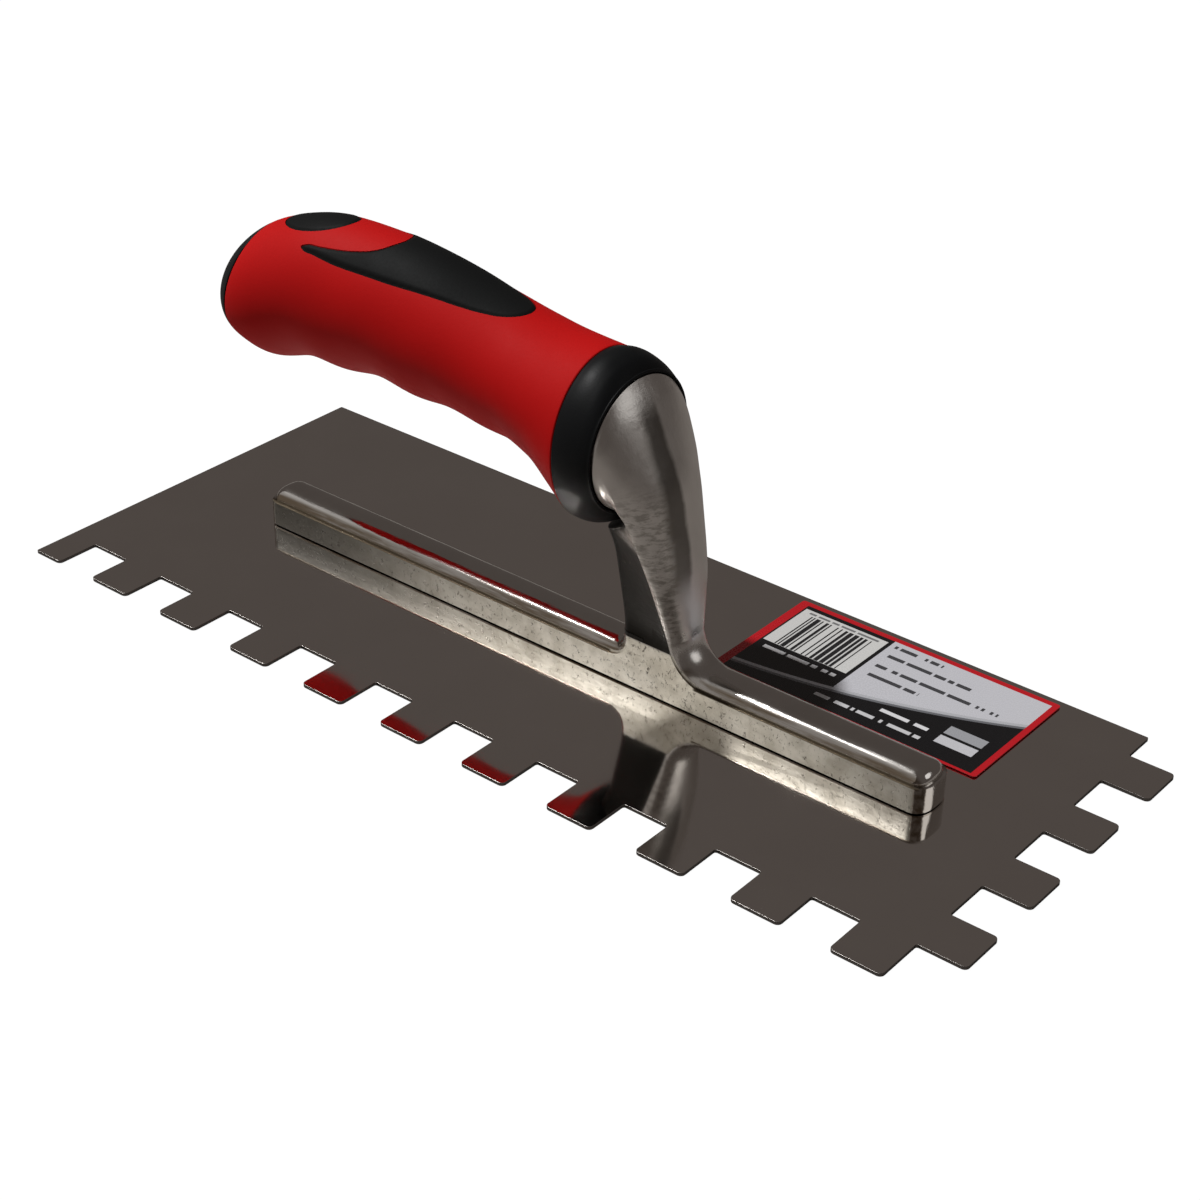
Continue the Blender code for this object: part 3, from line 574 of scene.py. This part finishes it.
def shankControls():
    # in mm: back x, back z, front x, front z, ridge x, ridge half width, back half width, roundness
    m = mounting
    back, front, half = m["shankBack"] / mm, m["shankFront"] / mm, m["half"] / mm
    face, under = collarHigh.x / mm, collarLow.z / mm - 0.3
    centre, edge = shankHead["centre"] / mm, m["top"] / mm - m["wallTop"] / mm
    tall, wide = shankHead["tall"] / mm, shankHead["wide"] / mm
    low, high = centre - tall, centre + tall
    return np.array([
        (back, 3.0, front, 3.0, front - edge, half, half, 0),
        (back, m["fold"] / mm, front, m["fold"] / mm, front - edge, half, half, 0),
        (back - 0.6, 19.6, front, 19.6, front - edge, 6.75, 5.7, 0),
        (back - 3.0, 30.0, front - 1.1, 30.3, 30.3, 9.2, 5.1, 0),
        (back - 4.5, 36.5, front - 2.0, 37.5, 28.0, 10.7, 5.1, 0),
        (face - 6.6, under, front - 3.3, 45.0, 25.4, 12.0, 5.2, 0),
        (face + 1.1, under + 3.5, front - 6.2, 56.0, 23.4, 13.5, 8.0, 0.35),
        (face + 1.0, low - 1.2, face + 8.7, 64.5, face + 5.0, 15.2, 10.0, 0.65),
        (face + 0.8, low - 0.2, face + 4.0, 74.0, face + 2.5, wide - 1.0, 10.0, 0.92),
        (face + 0.1, low, face + 0.4, high - 0.6, face + 0.25, wide - 0.1, 10.0, 1.0),
    ])


shankHead = {"centre": 63.7 * mm, "tall": 16.45 * mm, "wide": 17.4 * mm}


def shankRings(rowsAbove=110, around=60):
    # Rings between a back and a front point. In front of the ridge a ring is half an ellipse; behind
    # it the sides run straight to a half-elliptic back edge, or round off into an oval.
    control = shankControls()
    lower = control[0] + (control[1] - control[0]) * np.linspace(0, 1, 8)[:, None]

    def between(first, last, rows):  # smooth from one control row to another, creased at both
        at, t = np.arange(last - first + 1), np.linspace(0, last - first, rows)[1:]
        columns = control[first:last + 1].T
        return np.stack([smoothCurve(t, np.column_stack([at, column])) for column in columns], 1)

    web, corner = len(control) // 2, len(control) - 1
    upper = np.concatenate([between(1, web, rowsAbove // 2), between(web, corner, rowsAbove // 2)])
    head = control[-1].copy()
    head[[0, 2]], head[3] = collarLow.x / mm, control[-1][3] + 0.6
    inside = control[-1].copy()
    inside[[0, 2]], inside[3] = collarHigh.x / mm, head[3]
    values = np.concatenate([lower, upper, inside[None], head[None]])
    backX, backZ, frontX, frontZ, ridgeX, ridgeHalf, backHalf, oval = (v[:, None] for v in values.T)
    ridge = np.full_like(ridgeX, 0.5)
    wideEnough = frontX - backX > 0.5
    ridge[wideEnough] = ((ridgeX - backX) / np.maximum(frontX - backX, 0.5))[wideEnough]
    crownTall = (mounting["top"] - mounting["wallTop"]) / mm
    depth = np.where(wideEnough, crownTall / np.maximum(frontX - backX, 8), 0.3)
    nose = np.linspace(-np.pi / 2, np.pi / 2, around + 1)[None]
    noseT, noseY = ridge + (1 - ridge) * np.cos(nose), ridgeHalf * np.sin(nose)
    s = np.linspace(0, 1, around + 1)[None, 1:-1]
    angle = np.pi * s
    roundT, roundY = ridge * (1 - np.sin(angle)), ridgeHalf * np.cos(angle)
    edge = 0.27  # the share of the ring's back half that each straight side takes
    run = np.clip(np.minimum(s, 1 - s) / edge, 0, 1)
    side = np.where(s < 0.5, 1, -1)
    over = np.pi / 2 * np.clip((s - 0.5) / (0.5 - edge), -1, 1)
    bluntY = np.where(run < 1, side * (ridgeHalf + (backHalf - ridgeHalf) * run), -backHalf * np.sin(over))
    bluntT = np.where(run < 1, ridge + (depth - ridge) * run, depth * (1 - np.cos(over)))
    t = np.concatenate([noseT, bluntT + (roundT - bluntT) * oval], 1)
    y = np.concatenate([noseY, bluntY + (roundY - bluntY) * oval], 1)
    return np.stack([backX + (frontX - backX) * t, y, backZ + (frontZ - backZ) * t], -1) * mm


def tangRings():
    # a round bar from inside the shank's head, falling gently to the rear
    start, end = Vector((collarLow.x, 0, shankHead["centre"])), Vector((-0.090, 0, 0.0712))
    along = (end - start).normalized()
    up = along.cross(Vector((0, 1, 0)))
    angle = 2 * np.pi * np.arange(32)[:, None] / 32
    length = (end - start).length
    rings = []
    for at, radius in ((-3 * mm, 6 * mm), (0.3 * length, 6 * mm), (length, 4.5 * mm)):
        centre = np.array(start + along * at)
        rings.append(centre + radius * (np.cos(angle) * [0, 1, 0] + np.sin(angle) * np.array(up)))
    return rings


def makeMounting(metal):
    m = mounting
    rear, front, foot = mountLow.x, mountHigh.x, mountLow.z
    wall = [(foot, 0.25 * mm, 1), (foot + 0.25 * mm, 0, 1), (m["wallTop"] - 0.2 * mm, 0, 1)]
    wall += [(m["wallTop"] - 0.05 * mm, 0.05 * mm, 1), (m["wallTop"], 0.2 * mm, 1)]
    piece = bar("cast_mounting", rear, front, wall)
    others = [
        bar("crown", rear, m["shankBack"] + 3 * mm, crownRows()),
        bar("crown", m["shankFront"] - 3 * mm, front, crownRows()),
        skin("shank", shankRings()),
        bend("elbow", m["shankFront"], m["elbow"], 1, 1.0 * mm, 0.05),
        bend("heel", m["shankBack"], m["heel"], -1, 2.0 * mm, 0.0),
        skin("tang", tangRings()),
    ]
    for other in others:
        combine(piece, other, "UNION")
    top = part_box("rivet_1")[1].z + gap
    shaft = 1.7 * mm + gap
    holes = [skin("hole", turned(x, 0, [(shaft, foot - mm), (shaft, top)])) for x in rivetPlaces]
    combine(piece, joined("holes", holes), "DIFFERENCE")
    return finish(piece, metal, "mounting", sharp=20)


makeMounting(castAluminium())


grip = {
    "rear": capLow.x,
    "front": collarLow.x,
    "top": 93.9 * mm,
    "belly": 56.4 * mm,
    "half": 15.9 * mm,
    "wave": 0.65 * mm,  # finger waves on the underside
    "pitch": 25 * mm,
    "peak": -59.5 * mm,
    "dome": 22 * mm,
    "power": 2.3,
    "tilt": 0.25,  # the cap's joint leans forwards at the top
    "wall": 3.2 * mm,
    "capJoint": -107.4 * mm,
    "collar": (62.8 * mm, 21.5 * mm, 19.25 * mm),  # centre height, half height, half width
}


def gripShape(x):
    # Centre height, half height and half width at x: smooth curves through knots, a cosine wave under
    # the fingers, and a superelliptic dome at the rear.
    g = grip
    centre, tall, wide = g["collar"]
    front, rear, top, belly, half = g["front"], g["rear"], g["top"], g["belly"], g["half"]
    crown = front - 0.57 * (front - rear)
    upper = smoothCurve(x, [
        (rear, top - 12.2 * mm), (rear + 17 * mm, top - 5.7 * mm), (crown - 20 * mm, top - 1.0 * mm),
        (crown, top), (crown + 16 * mm, top - 1.3 * mm), (front - 33 * mm, top - 5.4 * mm),
        (front - 14 * mm, centre + tall + 0.7 * mm), (front, centre + tall)])
    lower = smoothCurve(x, [
        (rear, belly - 8.0 * mm), (rear + 17 * mm, belly - 4.6 * mm), (crown - 16 * mm, belly - 1.2 * mm),
        (crown + 5 * mm, belly), (front - 41 * mm, belly - 0.8 * mm), (front - 18 * mm, belly - 2.6 * mm),
        (front - 10.5 * mm, belly - 5.6 * mm), (front - 5 * mm, centre - tall + 4.7 * mm),
        (front, centre - tall)])
    fade = np.clip((front - 14 * mm - x) / (8 * mm), 0, 1)
    fade *= np.clip((x - rear - 5 * mm) / (10 * mm), 0, 1)
    lower = lower + g["wave"] * fade * np.cos(2 * np.pi * (x - g["peak"]) / g["pitch"])
    width = smoothCurve(x, [
        (rear, half + 0.8 * mm), (rear + 19 * mm, half + 0.7 * mm), (crown, half + 0.2 * mm),
        (front - 50 * mm, half), (front - 26 * mm, half + 0.3 * mm), (front - 12 * mm, half + 1.5 * mm),
        (front, wide)])
    run = np.clip((x - rear) / g["dome"], 0, 1)
    dome = (1 - (1 - run) ** g["power"]) ** (1 / g["power"])
    return (upper + lower) / 2, (upper - lower) / 2 * dome, width * dome


def gripSurface(x, angle, inward, lean=None):
    # The grip's skin at x and at an angle from the top, moved inwards; near the cap a ring leans
    # forwards at the top, so the place along X is settled in a few rounds.
    x, angle, inward = np.broadcast_arrays(x, angle, inward)
    if lean is None:
        lean = grip["tilt"] * np.clip((grip["capJoint"] + 22 * mm - x) / (20 * mm), 0, 1)
    place, middle = x.astype(float), gripShape(x)[0]
    for _ in range(6):
        centre, tall, wide = gripShape(place)
        z = centre + (tall - inward) * np.cos(angle)
        place = x + lean * (z - middle)
    return np.stack([place, (wide - inward) * np.sin(angle), z], -1)


palm = {"centre": -84.9 * mm, "long": 11.3 * mm, "wide": 7.1 * mm}
inlay = {"proud": 0.2 * mm, "depth": 2.0 * mm, "seam": 0.16 * mm, "soft": 0.9 * mm}


def thumbOutline():
    # Plan outline of the forked inlay: a side through knots to a round front end, mirrored, with a
    # hollow between the two tails. Cubic curves through the knots, by the length along them.
    near = np.array([
        (-56.8, 0.0), (-57.2, 2.0), (-58.0, 3.7), (-59.3, 5.6), (-61.5, 7.2), (-65.3, 8.5), (-70.0, 9.4),
        (-76.0, 10.0), (-81.0, 10.35), (-82.0, 10.7), (-81.2, 11.1), (-77.0, 11.55), (-70.0, 11.95),
        (-62.0, 11.95), (-54.0, 11.55), (-46.0, 10.75), (-38.0, 9.7), (-31.0, 8.55), (-25.5, 7.3),
        (-21.5, 5.9), (-18.6, 3.9), (-17.2, 1.8), (-16.8, 0.0)]) * mm
    length = np.append(0, np.cumsum(np.linalg.norm(np.diff(near, axis=0), axis=1)))
    s = np.linspace(0, length[-1], 260)
    side = np.column_stack([smoothCurve(s, np.column_stack([length, near[:, k]])) for k in (0, 1)])
    side[[0, -1], 1] = 0
    return np.concatenate([side, (side * [1, -1])[-2:0:-1]])


def palmOutline():
    angle = 2 * np.pi * np.arange(160) / 160
    return np.column_stack([palm["centre"] + palm["long"] * np.cos(angle), palm["wide"] * np.sin(angle)])


def outlineDistance(points, outline):
    # Signed distance in plan from points to an outline: nearest outline point, positive inside.
    flat = points.reshape(-1, 2)
    nearest = np.full(len(flat), np.inf)
    inside = np.zeros(len(flat), bool)
    after = np.roll(outline, -1, 0)
    for a, b in zip(outline, after):
        nearest = np.minimum(nearest, ((flat - a) ** 2).sum(1))
        crosses = (a[1] > flat[:, 1]) != (b[1] > flat[:, 1])
        if a[1] != b[1]:
            inside ^= crosses & (flat[:, 0] < a[0] + (flat[:, 1] - a[1]) / (b[1] - a[1]) * (b[0] - a[0]))
    distance = np.sqrt(nearest) * np.where(inside, 1, -1)
    return distance.reshape(points.shape[:-1])


def patchRings(outline, outside, deep, pillow=0.0):
    # A slab of the grip's wall under a plan outline's box: outer skin over, inner skin back.
    low, high = outline[:, 0].min() - 3 * mm, outline[:, 0].max() + 3 * mm
    x = np.linspace(low, high, int((high - low) / (0.45 * mm)))[:, None]
    angle = np.radians(np.linspace(-72, 72, 121))[None]
    lean = 0.0
    outer = gripSurface(x, angle, -outside, lean)
    if pillow:  # the edge of the proud inlay is rolled down
        rolled = np.clip(outlineDistance(outer[..., :2], outline) / inlay["soft"], 0, 1)
        outer = gripSurface(x, angle, -outside + pillow * (1 - rolled) ** 2, lean)
    inner = gripSurface(x, angle[:, ::-6], deep, lean)
    return np.concatenate([outer, inner], 1)


def prism(name, outline, low, high):
    return skin(name, levels(outline, [(low, 0), (high, 0)]))


def windingLeft(outline):
    # counter-clockwise, so that a positive inset moves inwards
    x, y = outline.T
    area = (x * np.roll(y, -1) - y * np.roll(x, -1)).sum()
    return outline if area > 0 else outline[::-1]


def makeInlay(name, outline, material, node):
    outline = windingLeft(outline)
    low, high = grip["collar"][0] + 10 * mm, grip["top"] + 10 * mm
    piece = skin(name, patchRings(outline, inlay["proud"], inlay["depth"], 0.45 * mm))
    combine(piece, prism("outline", outline, low, high), "INTERSECT")
    pocket = skin("pocket", patchRings(outline, 1.5 * mm, inlay["depth"] + inlay["seam"]))
    combine(pocket, prism("outline", inset(outline, -inlay["seam"]), low, high), "INTERSECT")
    finish(piece, material, node, sharp=32)
    return pocket


def sleeveRings():
    # along the outside from the cap's joint to the collar, both ends rolled in, and back along the bore
    rear, front = grip["capJoint"] + gap / 2, grip["front"] - gap / 2
    roll = 0.45 * mm
    turn = np.linspace(0, math.pi / 2, 6)[:-1]
    x = np.concatenate([rear + roll * (1 - np.cos(turn)), np.linspace(rear + roll, front - roll, 230),
                        front - roll * (1 - np.cos(turn[::-1]))])
    inward = np.concatenate([roll * (1 - np.sin(turn)), np.zeros(230), roll * (1 - np.sin(turn[::-1]))])
    angle = 2 * np.pi * np.arange(144)[None] / 144
    bore = np.linspace(front, rear, 16)[:, None]
    outside = gripSurface(x[:, None], angle, inward[:, None])
    return np.concatenate([outside, gripSurface(bore, angle, grip["wall"])])


def makeHandle(red, black, hard):
    sleeve = skin("grip_rubber", sleeveRings(), loop=True)
    for name, outline, node in (("thumb_pad", thumbOutline(), "thumb_inlay"),
                                ("palm_pad", palmOutline(), "palm_inlay")):
        pocket = makeInlay(name, outline, black, node)
        combine(sleeve, pocket, "DIFFERENCE")
    finish(sleeve, red, "grip_sleeve", sharp=32)
    makeCap(hard)
    makeCollar(hard)


def makeCap(hard):
    # the dome behind the leaning joint, its rim rolled in
    joint, roll = grip["capJoint"] - gap / 2, 0.4 * mm
    length = joint - grip["rear"]
    turn = np.linspace(0, math.pi / 2, 6)[:-1]
    share = 1 - np.cos(np.linspace(0, math.pi / 2, 40))
    reach = 0.999 * (length - roll)  # stops just short, so that the last ring keeps some size
    x = np.concatenate([joint - roll * (1 - np.cos(turn)), joint - roll - reach * (1 - share[::-1])])
    inward = np.concatenate([roll * (1 - np.sin(turn)), np.zeros(40)])
    angle = 2 * np.pi * np.arange(144)[None] / 144
    lean = grip["tilt"] * (x - grip["rear"]) / length
    rings = gripSurface(x[:, None], angle, inward[:, None], lean[:, None])
    cap = skin("cap_shell", rings)
    plugStart, plugEnd = joint + 5 * mm, joint - 4 * mm
    height = 71.2 * mm + (plugStart + 90 * mm) * -0.07
    ring = 5.5 * mm * np.stack([np.zeros_like(angle[0]), np.sin(angle[0]), np.cos(angle[0])], -1)
    combine(cap, skin("plug", [ring + [x, 0, height] for x in (plugStart, plugEnd)]), "UNION")
    return finish(cap, hard, "end_cap", sharp=32)


def makeCollar(hard):
    # Oval rings along the collar's length, its outside a low curve that rolls over into the face.
    centre, tall, wide = grip["collar"]
    rear, front = collarLow.x, collarHigh.x
    length, lift = front - rear, shankHead["centre"] - centre
    knots = [(0.0, 0.0), (0.2, 0.3), (0.4, 0.1), (0.6, -0.6), (0.78, -1.6), (0.92, -2.9), (1.0, -3.9)]
    t = np.linspace(0, 1, 30)
    out = smoothCurve(t, knots) * mm
    roll = 0.35 * mm
    turn = np.linspace(0, math.pi / 2, 6)
    x = np.concatenate([rear + roll * (1 - np.cos(turn[:-1])), rear + roll + (length - 2 * roll) * t,
                        front - roll + roll * np.sin(turn[1:])])
    out = np.concatenate([-roll * (1 - np.sin(turn[:-1])), out, out[-1] - roll * (1 - np.cos(turn[1:]))])
    boreTall, boreWide = shankHead["tall"] + gap, shankHead["wide"] + gap
    angle = 2 * np.pi * np.arange(144)[None] / 144
    share = ((x - rear) / length)[:, None]
    out = out[:, None]
    middle = centre + lift * share
    outer = np.stack([x[:, None] + 0 * angle, (wide + out * 0.22) * np.sin(angle),
                      middle + (tall + out) * np.cos(angle)], -1)
    edge = np.array([front, front - 0.2 * mm, rear])[:, None]
    ease = np.array([0.2 * mm, 0, 0])[:, None]
    inner = np.stack([edge + 0 * angle, (boreWide + ease) * np.sin(angle),
                      shankHead["centre"] + (boreTall + ease) * np.cos(angle)], -1)
    piece = skin("collar_ring", np.concatenate([outer, inner]), loop=True)
    return finish(piece, hard, "front_collar", sharp=32)


redRubber = softRubber("red_soft_grip", ("#b20d0d", "#a60b0b"), 0.66, 0.03)
blackRubber = softRubber("black_soft_grip", ("#0f1010", "#0c0d0d"), 0.66, 0.03)
blackPlastic = hardPlastic("black_polypropylene", ("#0c0d0e", "#101112"), 0.5)
makeHandle(redRubber, blackRubber, blackPlastic)


label = {  # all measures in mm from the label's middle
    "frame": "#a8121c",
    "panel": "#b3b3b8",
    "pale": "#bdbdbb",
    "ink": "#0d0d0f",
    "silver": "#a2a3a7",
    "grey": "#5f6064",
    "arc": (-54.6, 182.0),  # the middle of a long sweep from the lower left to the upper right
    "arcRadius": 197.0,
    "column": 0.42,
    "lineTall": 1.35,
    "lines": (  # rear end, front end, height up the label, tint
        (-7.3, 6.9, 15.8, "#3b3b3e"), (-6.4, 18.2, 11.2, "#3b3b3e"), (-6.4, 28.6, 5.7, "#3b3b3e"),
        (-6.4, 9.0, 1.1, "#3b3b3e"), (-33.8, -10.6, -5.0, "#c4c4c6"),
        (4.8, 19.0, -10.3, "#c9c9cb"), (-10.6, 19.4, -14.6, "#b9b9bb")),
}


def labelPrint():
    # gloss paper label under a clear film: red frame, pale panel, bars and blocks in place of print
    made, add, shader, place = startMaterial("printed_label", IOR=1.5)
    centre = (labelLow + labelHigh) / 2
    place = add("VectorMath", {0: place, 1: centre}, operation="SUBTRACT")
    place = add("VectorMath", {0: place, "Scale": 1000.0}, operation="SCALE")  # millimetres
    axes = add("SeparateXYZ", {0: place}, out=None)
    u, v = axes["X"], axes["Y"]

    def within(x0, x1, y0, y1):
        inputs = {0: place, 1: ((x0 + x1) / 2, (y0 + y1) / 2, 0)}
        away = add("VectorMath", inputs, operation="SUBTRACT")
        away = add("VectorMath", {0: away}, operation="ABSOLUTE")
        parts = add("SeparateXYZ", {0: away}, out=None)
        inX = add("Math", [parts["X"], (x1 - x0) / 2], operation="LESS_THAN")
        inY = add("Math", [parts["Y"], (y1 - y0) / 2], operation="LESS_THAN")
        return mask(add, inX, inY)

    def disc(x, y, radius):
        ends = [add("CombineXYZ", [u, v]), (x, y, 0)]
        away = add("VectorMath", ends, operation="DISTANCE", out="Value")
        return add("Math", [away, radius], operation="LESS_THAN")

    def strokes(x0, x1, y, tall, cell=0.8):
        # a row of short plain dashes of uneven length, where a line of writing would be
        cells = add("Math", [u, cell], operation="DIVIDE")
        key = add("CombineXYZ", [add("Math", [cells], operation="FLOOR"), y])
        chance = add("TexWhiteNoise", {"Vector": key}, noise_dimensions="2D", out="Value")
        inked = add("Math", [chance, 0.2], operation="GREATER_THAN")
        return mask(add, within(x0, x1, y - tall / 2, y + tall / 2), inked)

    field = within(-35.3, 36.2, -19.0, 18.1)
    layers = [(field, label["panel"])]
    for wider, tint in ((0.0, "silver"), (1.1, "grey"), (2.0, "ink")):  # strips outside the sweep
        beyond = add("Math", [1.0, disc(*label["arc"], label["arcRadius"] + wider)], operation="SUBTRACT")
        layers.append((mask(add, field, beyond), label[tint]))
    inner = mask(add, within(-35.3, -8.7, -14.0, 18.1), disc(*label["arc"], label["arcRadius"]))
    layers += [(inner, label["ink"]), (within(-34.8, -9.8, -2.5, 16.6), label["pale"])]
    # the bar block: about half of its columns are inked
    column = add("Math", [u, 1 / label["column"]], operation="MULTIPLY")
    column = add("Math", [column], operation="FLOOR")
    chance = add("TexWhiteNoise", {"W": column}, noise_dimensions="1D", out="Value")
    inked = add("Math", [chance, 0.45], operation="GREATER_THAN")
    layers.append((mask(add, within(-31.9, -13.1, -2.4, 14.2), inked), "#1d1d1f"))
    layers.append((strokes(-33.0, -11.6, 15.3, 0.8, 0.7), "#6a6a6b"))
    for x0, x1, y, tint in label["lines"]:
        layers.append((strokes(x0, x1, y, label["lineTall"]), tint))
    # two plain blocks fill the corner
    layers += [(within(22.4, 32.8, -8.9, -5.2), "#8f9094"), (within(22.4, 32.8, -13.4, -9.9), "#b4b4b8")]
    shade = label["frame"]
    for share, tint in layers:
        shade = add("Mix", {0: share, 6: shade, 7: tint}, out=2)
    fibre = add("TexNoise", {"Vector": place, "Scale": perMetre(400), "Detail": 2})
    rough = add("MapRange", [fibre, 0.3, 0.7, 0.22, 0.32])
    connect(shader, shade, rough, add("Bump", {"Height": fibre, "Distance": 0.004 * mm}))
    shader.inputs["Coat Weight"].default_value = 0.12
    shader.inputs["Coat Roughness"].default_value = 0.12
    return made


def makeLabel():
    # a thin slip with rounded corners and a softened top edge
    radius = 0.8 * mm
    angle = np.linspace(0, np.pi / 2, 8)
    corner = radius * np.column_stack([np.cos(angle), np.sin(angle)])
    parts = []
    for x, y, quarter in ((labelHigh.x, labelHigh.y, 0), (labelLow.x, labelHigh.y, 1),
                          (labelLow.x, labelLow.y, 2), (labelHigh.x, labelLow.y, 3)):
        c, s = math.cos(quarter * math.pi / 2), math.sin(quarter * math.pi / 2)
        turnedCorner = corner @ np.array([[c, s], [-s, c]])
        pull = np.array([-radius if x > labelLow.x else radius, -radius if y > labelLow.y else radius])
        parts.append(turnedCorner + pull + [x, y])
    outline = np.concatenate(parts)
    low, high = labelLow.z, labelHigh.z
    rows = [(low, 0), (high - 0.06 * mm, 0), (high, 0.05 * mm)]
    return finish(skin("label_slip", levels(outline, rows)), labelPrint(), "label", sharp=20)


makeLabel()


def dressNodes():
    rivetSteel = turnedSteel("steel_rivet", "#b3b0ab", 0.24)
    zincSteel = turnedSteel("zinc_plated_steel", "#c2c1bd", 0.28)
    nylon = hardPlastic("black_nylon_core", ("#141516", "#1b1c1e"), 0.42, 0.03)
    dressed = {f"rivet_{i + 1}": rivetSteel for i in range(9)}
    dressed |= {"tang_screw": zincSteel, "tang_washer": zincSteel, "handle_core": nylon}
    for name, material in dressed.items():
        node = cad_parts[name]
        for slotIndex in range(max(1, len(node.material_slots))):
            if node.material_slots:
                node.material_slots[slotIndex].material = material
            else:
                node.data.materials.append(material)


dressNodes()
print("dressed the rivets, screw, washer and core")


studio = {
    "floor": "#ececec",
    "bounce": "#75706c",
    "room": "#56504d",
    "key": {"direction": (-0.50, -0.16, 0.85), "spread": 3, "strength": 3.6},
    "fill": {"direction": (-0.54, -0.67, 0.51), "spread": 84, "strength": 0.42},
    "rim": {"direction": (0.75, 0.35, 0.55), "spread": 30, "strength": 0.18},
}


def makeStudio():
    # a plain pale floor: it glows for the camera's own rays, and for every other ray it is a darker
    # matt surface that throws only a little light back up at the tool
    made, add, shader, _ = startMaterial("studio_floor", Roughness=0.9)
    shader.inputs["Base Color"].default_value = hexColour(studio["bounce"])
    seen = add("LightPath", out="Is Camera Ray")
    glow = add("Emission", {0: hexColour(studio["floor"]), 1: 1.44})
    share = add("Math", [seen, 0.82], operation="MULTIPLY")
    both = add("MixShader", {0: share, 1: shader.outputs[0], 2: glow})
    nodes = made.node_tree.nodes
    made.node_tree.links.new(both, nodes["Material Output"].inputs["Surface"])
    size = 40.0
    corners = np.array([(-size, -size), (size, -size), (size, size), (-size, size)])
    low = bladeLow.z - 0.2 * mm
    floor = newPiece("studio_floor", np.column_stack([corners, np.full(4, low)]), [[0, 1, 2, 3]])
    floor.data.materials.append(made)
    world = bpy.data.worlds.new("studio")
    world.use_nodes = True
    background = world.node_tree.nodes["Background"]
    background.inputs["Color"].default_value = hexColour(studio["room"])
    background.inputs["Strength"].default_value = 1.0
    scene.world = world
    for name in ("key", "fill", "rim"):
        values = studio[name]
        lamp = bpy.data.lights.new(name, "SUN")
        lamp.energy, lamp.angle = values["strength"], math.radians(values["spread"])
        holder = bpy.data.objects.new(name, lamp)
        holder.rotation_euler = Vector(values["direction"]).to_track_quat("Z", "Y").to_euler()
        scene.collection.objects.link(holder)


makeStudio()
print("floor and lights set")

print("done")
